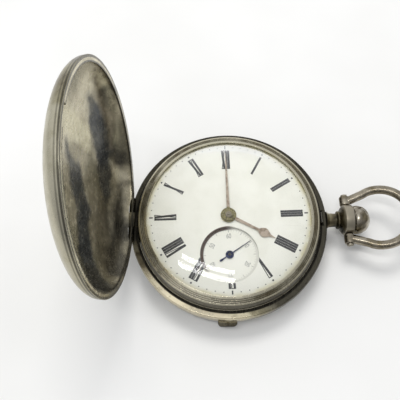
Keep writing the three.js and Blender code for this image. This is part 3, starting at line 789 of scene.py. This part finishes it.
hinges = {"front": Hinge("front_cover_hinge", Y, 0.75, 0.35, 2, 6),
          "back": Hinge("back_cover_hinge", X, 0.75, 0.3, 1.7, 5),
          "dust": Hinge("dust_cover_hinge", X, 0.5, 0.2, 1.5, 4)}
pendant_z = pivot("bow_swing").z
bow_x = pivot("bow_swing").x
SPRING_SCREWS = [polar(23.1, 62), polar(23.1, 128)]

band_profile = rounded([
    (23.8, 4.3), (24.8, 4.3), (25, 4.8), (25, 7.3), (24.75, 7.85), (22.25, 7.85), (22.25, 8.9),
    (21.6, 8.9), (21.6, 7.9), (21.35, 7.9), (21.35, 6.95), (23.9, 6.95), (23.9, 5.1), (21.6, 5.1),
    (21.6, 4.7), (23.8, 4.7)], 0.14)
band = cut(lathe("case_band", band_profile, 256), *[hinge.case_relief() for hinge in hinges.values()])
band = join(band, *[knuckle for hinge in hinges.values() for knuckle in hinge.case_knuckles()])
band = cut(
    band, *[hinge.bore() for hinge in hinges.values()],
    rod("bore", 1, (22, 0, pendant_z), (27, 0, pendant_z)),
    block("slot", (23.45, 0, 7.4), (1.1, 4, 1.2)),
    *[rod("bore", 0.35, (x, y, 4), (x, y, 5.5)) for x, y in SPRING_SCREWS])
place(band, "case", case_silver, ["case_middle"])

COVER_R, COVER_RISE, LIP_Z = 24.75, 6.9, 7.9  # the closed cover's outside
SHEET = 0.5
DOME_SHAPE = 2.4  # the exponent of the dome's superellipse


def dome(inset, steps=44):
    """Half of the closed cover's section, from its lip to its axis, set in from its outside."""
    points = []
    for i in range(steps + 1):
        a = pi / 2 * i / steps
        r = (COVER_R - inset) * cos(a) ** (2 / DOME_SHAPE) if i < steps else 0
        points.append((r, LIP_Z + (COVER_RISE - inset) * sin(a) ** (2 / DOME_SHAPE)))
    return points


outer_dome = dome(0)
inner_dome = [p for p in reversed(dome(SHEET)) if p[1] > LIP_Z + 0.8]
lip = rounded([inner_dome[-1], (COVER_R - SHEET, 8.4), (23.3, 8.32), (23.3, LIP_Z), (COVER_R, LIP_Z),
               outer_dome[3]], 0.13, closed=False)
cover = lathe("front_cover_shell", [*inner_dome, *lip[1:-1], *outer_dome[3:]], 256)
cover = cut(cover, block("slot", (23.5, 0, LIP_Z), (1, 4.4, 2)))
cover = hinges["front"].on_cover(cover)
hinge_at = hinges["front"].centre
swing = Matrix.Rotation(radians(-COVER_OPEN), 4, "Y")
swing = Matrix.Translation(hinge_at) @ swing @ Matrix.Translation(-hinge_at)


def dish(flat_radius, rim, low, high, steps=28):
    return [(flat_radius + (rim - flat_radius) * sin(pi / 2 * i / steps),
             high - (high - low) * cos(pi / 2 * i / steps)) for i in range(steps + 1)]


def is_inner_dome(face):
    """Whether a face of the closed cover is below the middle of its sheet."""
    x, y, z = face.center
    r, rise = hypot(x, y), max(z - LIP_Z, 0)
    bowl = (r / (COVER_R - SHEET / 2)) ** DOME_SHAPE + (rise / (COVER_RISE - SHEET / 2)) ** DOME_SHAPE
    return bowl < 1 and r < COVER_R - SHEET - 0.01


inner_faces = [is_inner_dome(face) for face in cover.data.polygons]
cover.data.transform(swing)
place(cover, "front_cover", cover_silver, ["front_cover"])
cover.data.materials.append(cover_inside)
cover.data.polygons.foreach_set("material_index", [int(inner) for inner in inner_faces])

REST_R = 13.5  # of the flat that the watch lies on
back_profile = [(0, 0), *dish(REST_R, 24.9, 0, 4.25), *reversed(dish(REST_R, 24.15, 0.65, 4.25)), (0, 0.65)]
thumb = [(-3.1, -24.6), (-3.1, -25.4), (-2.5, -26.0), (-0.8, -26.1), (0.9, -26.0), (1.5, -25.4), (1.5, -24.6)]
thumb = [(p.x, p.y) for p in spline_through([(x, y, 0) for x, y in thumb], 4)]
back = join(lathe("back_cover_shell", back_profile, 256), flat("lip", [thumb], 3.65, 4.2, 0.12))
place(hinges["back"].on_cover(back), "back_cover", back_silver, ["back_cover"])

barrel_at = pivot("barrel_turn")
dust_profile = [(0, 1.05), *dish(13, 23.1, 1.05, 4.65), *reversed(dish(13, 22.7, 1.45, 4.65)), (0, 1.45)]
dust = cut(lathe("dust_cover_shell", dust_profile, 256), rod("hole", 1.5, (0, 0, 0), (0, 0, 3)),
           rod("hole", 1.5, (barrel_at.x, barrel_at.y, 0), (barrel_at.x, barrel_at.y, 3)))
place(hinges["dust"].on_cover(dust), "dust_cover", cover_silver, ["dust_cover"])

for name, hinge in hinges.items():
    place(hinge.bar(hinge.pin, -hinge.outer, hinge.outer, 0.06), "case", steel,
          [name + "_hinge_pin"]).name = name + "_hinge_pin_round"

bezel_slope = 0.6 / 1.65
bezel_grooves = []
for r in reversed(BEZEL_GROOVES):
    z = 11 + (22 - r) * bezel_slope
    bezel_grooves += [(r + 0.09, z - 0.03), (r, z - 0.1), (r - 0.09, z + 0.03)]
bezel_profile = rounded([
    (22.3, 7.9), (23.1, 7.9), (23.05, 8.6), (22.7, 8.9), (22.95, 9.5), (22.5, 10.75), (22.15, 10.94),
    *bezel_grooves, (20.35, 11.6), (20.35, 11.15), (21.1, 11.15), (21.1, 10.8), (22.3, 10.8)], 0.12)
place(lathe("glass_bezel_ring", bezel_profile, 256), "case", bezel_silver, ["glass_bezel"])

GLASS_R = 20.2


def glass_curve(top, drop, radii):
    return [(r, top - drop * (r / GLASS_R) ** 3) for r in radii]


radii = [GLASS_R * i / 40 for i in range(39, 0, -1)]
crystal_profile = [
    (20.95, 10.87), (20.95, 11.03), (20.3, 11.1), *glass_curve(13.7, 2.5, radii), (0, 13.7),
    (0, 12.9), *reversed(glass_curve(12.9, 1.9, radii[2:]))]
place(lathe("crystal_glass", crystal_profile, 192), "case", glass, ["crystal"], 50)


# ---------------- pendant, push piece and bow
def on_pendant(obj):
    """Turns a shape lathed about Z, whose heights are distances from the watch's centre."""
    return turn_to(obj, X, Vector((0, 0, pendant_z)))


pendant = on_pendant(lathe("pendant_neck", rounded([
    (1, 25.05), (2.3, 25.05), (1.8, 25.7), (1.7, 27.5), (2.35, 27.9), (2.35, 28.2), (1.95, 28.6),
    (3.1, 28.9), (3.85, 29.5), (3.85, 31.55), (3.5, 31.55), (3.5, 31.05), (1, 31.05)], 0.16), 96))
pendant = cut(pendant, *[rod("bore", 0.5, (bow_x, 2.2 * side, pendant_z), (bow_x, 5 * side, pendant_z))
                         for side in (-1, 1)])
place(pendant, "case", dark_silver, ["pendant"])

push = spline_through([(3.1, 31.65, 0), (3.55, 32.3, 0), (3.6, 33.2, 0), (3.2, 34.5, 0), (2.2, 35.5, 0),
                       (1, 36, 0), (0, 36.1, 0)], 8)
push_profile = [(0, 24), (0.9, 24.05), (0.9, 31.6), *[(max(p.x, 0), p.y) for p in push]]
push_piece = on_pendant(lathe("push_button", push_profile, 128))
middle = Vector((33.2, 0, pendant_z))
for vertex in push_piece.data.vertices:
    if vertex.co.x > 31.9:
        dent = max(0, noise.noise(vertex.co * 0.62 + Vector((3.1, 0.4, 7.7))))
        vertex.co += (middle - vertex.co).normalized() * 0.5 * dent
place(push_piece, "push_piece", ball_silver, ["push_piece"], 50)

BOW_RAISED = 14  # degrees above level at rest
ring = [(*polar(7.45, a, (8.05, 0)), 0) for a in range(120, -121, -10)]
bow_path = spline_through([(0.2, 5.05, 0), (1.4, 5.4, 0), *ring, (1.4, -5.4, 0), (0.2, -5.05, 0)], 5)
bow = wire("bow_ring", bow_path, 1.12)
eyes = [rod("eye", 1.3, (0, 3.92 * side, 0), (0, 6.35 * side, 0), edge=0.3) for side in (1, -1)]
bow = cut(join(bow, *eyes), rod("bore", 0.52, (0, -8, 0), (0, 8, 0)))
bow.data.transform(Matrix.Translation((bow_x, 0, pendant_z)) @ Matrix.Rotation(radians(-BOW_RAISED), 4, "Y"))
place(bow, "bow", bow_silver, ["bow"], 45)


def screw(name, head, shank, body, axis, origin, material, node):
    """A slotted screw. head is (radius, low, high) along the axis, and shank is (radius, foot)."""
    radius, low, high = head
    thin, foot = shank
    shape = lathe(name, rounded([(0, foot), (thin, foot), (thin, low), (radius, low), (radius, high),
                                 (0, high)], 0.1, closed=False), 48)
    depth = 0.45 * (high - low)
    shape = cut(shape, block("slot", (0, 0, high), (3 * radius, 0.28 * radius, 2 * depth)))
    place(turn_to(shape, axis, origin), body, material, [node])


for node, side in (("bow_screw_upper", 1), ("bow_screw_lower", -1)):
    screw(node + "_turned", (0.85, 6.42, 6.85), (0.42, 2.3), "case", Y * side,
          Vector((bow_x, 0, pendant_z)), dark_silver, node)


# ---------------- dial
DIAL_TURN = 1
SECONDS_R = 6.93
dial_low, dial_top = levels("dial")
place(flat("enamel_dial", [circle(21.4, count=192), circle(1.4),
                           circle(SECONDS_R, SECONDS_AT, 128)], dial_low, dial_top, 0.1),
      "case", white_enamel, ["dial"])
sunk_low, sunk_top = levels("seconds_dial")
place(flat("enamel_seconds_dial", [circle(7.4, SECONDS_AT, 96), circle(0.45, SECONDS_AT, 32)],
           sunk_low, sunk_top, 0.05), "case", sunk_enamel, ["seconds_dial"])

PRINT = 0.015  # thickness of the painted marks
NUMERAL_IN, NUMERAL_OUT = 12.97, 18.47
NUMERALS = ["XII", "I", "II", "III", "IIII", "V", "VI", "VII", "VIII", "IX", "X", "XI"]
THICK, THIN = 0.56, 0.2


def stroke(bottom, top, width):
    """A slanted bar between two feet, as an outline."""
    (x0, y0), (x1, y1) = bottom, top
    half = width / 2
    return [(x0 - half, y0), (x0 + half, y0), (x1 + half, y1), (x1 - half, y1)]


def numeral(text):
    """Outlines of a tall Roman numeral: x along the dial's edge, y from 0 at its foot."""
    height = NUMERAL_OUT - NUMERAL_IN
    widths = {"I": 0.60, "V": 1.15, "X": 1.0}
    x = -sum(widths[letter] for letter in text) / 2
    outlines = []
    for letter in text:
        w = widths[letter]
        strokes = {
            "I": [(w / 2, w / 2, THICK)],
            "V": [(w / 2 - 0.1, 0.27, THICK), (w / 2 + 0.1, w - 0.12, THIN)],
            "X": [(w - 0.27, 0.27, THICK), (0.12, w - 0.12, THIN)]}
        for foot, top, width in strokes[letter]:
            outlines.append(stroke((x + foot, 0), (x + top, height), width))
        for y in (0, height - THIN):
            inset = 0.3 if letter == "V" and y == 0 else 0.02
            outlines.append(stroke((x + w / 2, y), (x + w / 2, y + THIN), w - 2 * inset))
        x += w
    return outlines


def in_hole(x, y):
    return hypot(x - SECONDS_AT.x, y - SECONDS_AT.y) < SECONDS_R + 0.12


def painted(name, outlines, base, trim=False):
    """Thin raised marks of paint from convex outlines. Trimmed ones stay off the sunk dial."""
    verts, faces = [], []
    for outline in outlines:
        if trim:
            outline = trimmed(outline)
        if len(outline) < 3:
            continue
        first, count = len(verts), len(outline)
        verts += [(x, y, base) for x, y in outline] + [(x, y, base + PRINT) for x, y in outline]
        faces.append([first + i for i in range(count)])
        faces.append([first + count + i for i in range(count)])
        for i in range(count):
            j = (i + 1) % count
            faces.append([first + i, first + j, first + count + j, first + count + i])
    return from_faces(name, verts, faces, merge=False)


def trimmed(outline):
    """The part of a slim outline that lies outside the opening over the sunk dial."""
    steps, result = 40, []
    for (ax, ay), (bx, by) in zip(outline, outline[1:] + outline[:1]):
        points = [(ax + (bx - ax) * k / steps, ay + (by - ay) * k / steps) for k in range(steps)]
        hidden = [in_hole(*p) for p in (*points, (bx, by))]
        result += [p for i, p in enumerate(points)
                   if not hidden[i] and (i == 0 or hidden[i - 1] or hidden[i + 1])]
    return result


def turned_about(outline, angle, centre=(0, 0)):
    c, s = cos(radians(angle)), sin(radians(angle))
    return [(centre[0] + x * c - y * s, centre[1] + x * s + y * c) for x, y in outline]


marks = []
for hour, text in enumerate(NUMERALS):
    angle = -30 * hour + DIAL_TURN
    for outline in numeral(text):
        marks.append(turned_about([(x, y + NUMERAL_IN) for x, y in outline], angle))
for minute in range(60):
    angle = -6 * minute + DIAL_TURN
    if minute % 15 == 0:
        marks.append(turned_about(stroke((0, 18.85), (0, 19.75), 0.34), angle))
    else:
        size = 0.24 if minute % 5 == 0 else 0.14
        marks.append(turned_about(circle(size, (0, 19.3), 12), angle))
place(painted("dial_marks", marks, dial_top, trim=True), "case", black_print)

ticks = []
for second in range(60):
    inner, width = (6.05, 0.05) if second % 5 else (5.75, 0.1)
    tick = stroke((0, inner), (0, 6.4), width)
    ticks.append(turned_about(tick, -6 * second + DIAL_TURN, SECONDS_AT))
place(painted("seconds_ticks", ticks, sunk_top), "case", grey_print)


def digits(text, size, angle, radius):
    """Dial figures whose feet point to the sunk dial's centre."""
    curve = bpy.data.curves.new("digits", "FONT")
    curve.body = text
    curve.size = size
    curve.align_x, curve.align_y = "CENTER", "CENTER"
    curve.extrude = PRINT / 2
    mesh = mesh_of(link_object("digits", curve))
    obj = link_object("digits", mesh)
    centre = (*polar(radius, angle, SECONDS_AT), sunk_top + PRINT / 2)
    obj.data.transform(Matrix.Translation(centre) @ Matrix.Rotation(radians(angle - 90), 4, "Z")
                       @ Matrix.Diagonal((0.8, 1.15, 1, 1)))
    return obj


figures = merged("seconds_figures", [
    digits(str(10 * i or 60), 1.55, 90 - 60 * i + DIAL_TURN, 4.75) for i in range(6)])
place(figures, "case", grey_print)

# ---------------- hands
def blade(widths, per_span=6):
    """The outline of a hand along +X from (distance, half-width) pairs, with flowing edges."""
    side = [(p.x, max(p.y, 0.0)) for p in spline_through([(x, w, 0) for x, w in widths], per_span)]
    return side + [(x, -w) for x, w in reversed(side) if w > 1e-4]


def hand(name, node, hub, bore, widths, joint, angle, body, material, boss):
    low, high = levels(node)
    arm = flat("arm", [blade(widths)], low, high, 0.05)
    disc = lathe("hub", rounded([(bore, low), (hub, low), (hub, high), (bore + 0.25, high),
                                 (bore + 0.25, high + boss), (bore, high + boss)], 0.06), 96)
    shape = join(disc, arm)
    shape = cut(shape, rod("bore", bore, (0, 0, low - 1), (0, 0, high + 1)))
    shape.name = name
    centre = pivot(joint)
    moved(shape, centre.x, centre.y, 0, angle + DIAL_TURN)
    place(shape, body, material, [node])


hand("hour_hand_spade", "hour_hand", 1.95, 1.22, [
    (1.2, 0.42), (4, 0.36), (7.9, 0.3), (8.35, 0.42), (9.1, 0.95), (9.9, 1.16), (10.6, 0.9), (11.2, 0.42),
    (11.8, 0.2), (12.8, 0.05)], "hour_turn", -30, "hour", gold, 0.0)
hand("minute_hand_blade", "minute_hand", 1.6, 0.78, [
    (0.9, 0.42), (6, 0.33), (12, 0.24), (17.2, 0.05)], "hand_setting", 90, "minute", gold,
    0.1)
hand("seconds_hand_blade", "seconds_hand", 1.0, 0.34, [
    (-2.9, 0.24), (-2.4, 0.24), (-1.6, 0.15), (-0.6, 0.13), (1, 0.14), (6.3, 0.06)], "seconds_run",
    33, "fourth_wheel", blued, 0.03)

# ---------------- movement
def spot(joint):
    """Where a joint's pivot is, seen from above."""
    return tuple(pivot(joint).xy)


CENTRE, BARREL, THIRD, FOURTH = (0, 0), spot("barrel_turn"), spot("third_wheel_turn"), spot("seconds_run")
ESCAPE, PALLET, BALANCE = spot("escape_wheel_turn"), spot("pallet_rock"), spot("balance_swing")
MINUTE, CLICK = spot("minute_wheel_turn"), spot("click_lift")
BARREL_SCREWS = (polar(19, 35), polar(19, 172))
TRAIN_SCREWS = (polar(18.5, -25), polar(18.5, -86))
PALLET_FOOT, BALANCE_FOOT = (-9.6, -14.4), (-8.6, -17.4)
BRIDGE_R, BRIDGE_BACK, BRIDGE_FRONT, PLATE_BACK = 20.5, 2.9, 3.7, 6.6


def arc(radius, start, end, steps=60, centre=(0, 0)):
    return [polar(radius, start + (end - start) * i / steps, centre) for i in range(steps + 1)]


def holes(obj, *drilled):
    """Drills (place, radius) holes through a shape, each with a countersink at the back."""
    low = min(v.co.z for v in obj.data.vertices)
    tools = []
    for (x, y), radius in drilled:
        sink = 0.22
        profile = [(0, low - 0.1), (radius + sink + 0.1, low - 0.1), (radius, low + sink),
                   (radius, 12), (0, 12)]
        tools.append(moved(lathe("drill", profile, 48), x, y))
    return cut(obj, *tools)


def lever(name, foot, tip, foot_r, tip_r, low, high, bevel=0.06):
    """A bar with round ends."""
    turn = degrees(atan2(tip[1] - foot[1], tip[0] - foot[0]))
    outline = arc(foot_r, turn + 90, turn + 270, 32, foot) + arc(tip_r, turn - 90, turn + 90, 32, tip)
    return flat(name, [outline], low, high, bevel)


def edge_wall(start, end):
    """The wall that a bridge stands on, along the movement's edge."""
    outline = arc(BRIDGE_R, start, end) + arc(BRIDGE_R - 1, end, start)
    return flat("wall", [outline], BRIDGE_FRONT - 0.1, PLATE_BACK - 0.05, 0.04)


plate = lathe("main_plate_turned", rounded([
    (0, 6.6), (21.25, 6.6), (21.25, 7.95), (21.5, 7.95), (21.5, 10.05), (20.6, 10.05), (20.6, 8.4), (0, 8.4)],
    0.08, closed=False), 192)
plate = join(plate, rod("post", 0.4, (*MINUTE, 8.2), (*MINUTE, 9.5), edge=0.08))
plate = holes(plate, (CENTRE, 0.85), (BARREL, 1.1),
              *[(at, 0.3) for at in (THIRD, ESCAPE, PALLET, BALANCE)], (FOURTH, 0.4))
place(plate, "case", gilt, ["main_plate"])

barrel_bridge = join(flat("barrel_bridge_shaped", [arc(BRIDGE_R, -6, 186, 120)],
                          BRIDGE_BACK, BRIDGE_FRONT, 0.09), edge_wall(0, 180))
barrel_bridge = holes(barrel_bridge, (CENTRE, 0.85), (BARREL, 1.1), (CLICK, 0.35),
                      *[(at, 0.55) for at in BARREL_SCREWS])
place(barrel_bridge, "case", gilt, ["barrel_bridge"])

train_bridge = join(flat("train_bridge_shaped", [[(-6.3, -2.6), *arc(BRIDGE_R, 252.1, 352.7)]],
                         BRIDGE_BACK, BRIDGE_FRONT, 0.09), edge_wall(262, 348))
train_bridge = cut(train_bridge, rod("round", 6.5, (*BALANCE, 2), (*BALANCE, 4.5), 128))
train_bridge = holes(train_bridge, (THIRD, 0.3), (FOURTH, 0.3), (ESCAPE, 0.3),
                     *[(at, 0.55) for at in TRAIN_SCREWS])
place(train_bridge, "case", gilt, ["train_bridge"])

for name, foot, tip, foot_r, tip_r, back, front, foot_hole in (
        ("pallet_cock", PALLET_FOOT, PALLET, 1, 0.9, 4.95, 5.35, 0.45),
        ("balance_cock", BALANCE_FOOT, BALANCE, 1.4, 2.8, 2.85, 3.45, 0.55)):
    cock = join(lever(name + "_shaped", foot, tip, foot_r, tip_r, back, front),
                rod("foot", foot_r, (*foot, front - 0.1), (*foot, PLATE_BACK - 0.05)))
    place(holes(cock, (foot, foot_hole), (tip, 0.3)), "case", gilt, [name])

for node, seat, head_r, shank_r, at in (
        *[(f"{bridge}_bridge_screw_{i + 1}", BRIDGE_BACK, 0.9, 0.45, screws[i])
          for bridge, screws in (("barrel", BARREL_SCREWS), ("train", TRAIN_SCREWS)) for i in (0, 1)],
        ("balance_cock_screw", 2.85, 0.7, 0.45, BALANCE_FOOT),
        ("pallet_cock_screw", 4.95, 0.7, 0.35, PALLET_FOOT)):
    screw(node + "_turned", (head_r, 0.05 - seat, 0.35 - seat), (shank_r, -6.5), "case", -Z,
          Vector((*at, 0)), blued, node)

stone = lathe("balance_endstone_polished", rounded(
    [(0, 2.55), (0.45, 2.57), (0.6, 2.66), (0.6, 2.8), (0, 2.8)], 0.05, closed=False), 64)
place(moved(stone, *BALANCE), "case", ruby, ["balance_endstone"])

drum = lathe("barrel_drum", rounded([
    (1.1, 5.95), (8, 5.95), (8, 3.95), (7.5, 3.95), (7.5, 5.5), (1.1, 5.5)], 0.1), 160)


def toothed_ring(name, count, module, low, high, inner_r):
    """A ring with rounded teeth round its outside."""
    radius, pitch = module * count / 2, 360 / count
    tooth = ((-0.5, -1.3), (-0.3, -1.2), (-0.21, -0.4), (-0.18, 0.0), (-0.1, 0.5), (-0.03, 0.85),
             (0.03, 0.85), (0.1, 0.5), (0.18, 0.0), (0.21, -0.4), (0.3, -1.2))
    outline = [polar(radius + h * module, (i + t) * pitch) for i in range(count) for t, h in tooth]
    return flat(name, [outline, circle(inner_r)], low, high, 0.025)


drum = join(drum, toothed_ring("teeth", 72, 0.24, 4.9, 5.3, 7.75))
place(moved(drum, *BARREL), "barrel", brass, ["barrel"])
lid = lathe("barrel_cover_turned", rounded([(1.1, 3.95), (7.35, 3.95), (7.35, 4.2), (1.1, 4.2)], 0.05), 128)
place(moved(lid, *BARREL), "barrel", brass, ["barrel_cover"])

OWN_FINISHES = {
    "setting_arbor": worn_steel, "cannon_pinion": worn_steel, "lock_spring": dark_steel,
    "fly_spring": dark_steel, "third_wheel": wheel_metal("third_wheel_turn"),
    "fourth_wheel": wheel_metal("seconds_run"), "escape_wheel": wheel_metal("escape_wheel_turn")}
KEPT_FINISHES = {"polished_steel": steel, "blued_steel": blued, "gilt_brass": gilt, "wheel_brass": brass}
for row in frame["record"]["subparts"]:
    node, finish = nodes[row["node"]], KEPT_FINISHES.get(row["material_slot"])
    if finish and not node.hide_render:
        node.data.materials.clear()
        node.data.materials.append(OWN_FINISHES.get(row["node"], finish))

# ---------------- floor, lights and camera
floor_graph = Graph("white_cloth")
weave = floor_graph.node("TexWave", {"Vector": floor_graph.mm, "Scale": 0.9, "Distortion": 1.5})
fold = floor_graph.noise(0.012, 3.0)
cloth = floor_graph.ramp(floor_graph.span(fold, 0.3, 0.7), [
    (0.0, (0.80, 0.80, 0.785)), (1.0, (0.86, 0.86, 0.85))])
soft = floor_graph.bump(weave, 0.02, 0.2)
soft = floor_graph.bump(fold, 2.0, 0.5, soft)
floor_material = floor_graph.surface(Base_Color=cloth, Roughness=0.9, Normal=soft)
floor = link_object("floor", mesh_filled("floor", lambda bm: bmesh.ops.create_grid(
    bm, x_segments=8, y_segments=8, size=1.2)))
floor.location.z = -0.02 * MM
floor.data.materials.append(floor_material)


def look(obj, position, target, roll=0.0):
    """Aims a camera or a lamp at a point, both in millimetres, and rolls it by roll degrees."""
    position, target = Vector(position) * MM, Vector(target) * MM
    back = (position - target).normalized()
    side = Z.cross(back).normalized()
    up = back.cross(side)
    c, s = cos(radians(roll)), sin(radians(roll))
    side, up = side * c + up * s, up * c - side * s
    obj.matrix_world = Matrix.Translation(position) @ Matrix((side, up, back)).transposed().to_4x4()


def area_light(name, position, target, size, energy, colour=(1, 1, 1), roll=0.0):
    data = bpy.data.lights.new(name, "AREA")
    data.shape = "RECTANGLE"
    data.size, data.size_y = size[0] * MM, size[1] * MM
    data.energy = energy
    data.color = colour
    lamp = link_object(name, data)
    look(lamp, position, target, roll)
    return lamp


window = area_light("window", (-20, 270, 520), (0, 0, 0), (260, 170), 1.3, (1.0, 0.985, 0.96))
window.visible_glossy = False
# Its reflection is the glare across the glass.
area_light("strip", (-95, -46, 480), (-6, -14, 10), (280, 32), 0.5, roll=51.5)

# The room's light grows towards the window, up and over the 12 o'clock side.
world = bpy.data.worlds.new("room")
scene.world = world
world.use_nodes = True
tree = world.node_tree
background = tree.nodes["Background"]
direction = tree.nodes.new("ShaderNodeTexCoord")
towards = tree.nodes.new("ShaderNodeVectorMath")
towards.operation = "DOT_PRODUCT"
towards.inputs[1].default_value = (-0.35, 0.75, 0.45)
tree.links.new(direction.outputs["Generated"], towards.inputs[0])
room = tree.nodes.new("ShaderNodeMapRange")
for key, value in (("From Min", -0.5), ("From Max", 0.85), ("To Min", 0.27), ("To Max", 0.95)):
    room.inputs[key].default_value = value
tree.links.new(towards.outputs["Value"], room.inputs["Value"])
tree.links.new(room.outputs[0], background.inputs["Strength"])
background.inputs["Color"].default_value = (0.97, 0.98, 1.0, 1)

EYE, EYE_ON = (-4.919, -43.814, 121.321), (-7.249, 8.969, 0)
camera_data = bpy.data.cameras.new("camera")
camera_data.sensor_width = 36
camera_data.lens = 42.98
camera_data.clip_start = 0.005
camera = link_object("camera", camera_data)
look(camera, EYE, EYE_ON, -3.309)
scene.camera = camera
scene.view_settings.view_transform = "Standard"

bpy.context.view_layer.update()
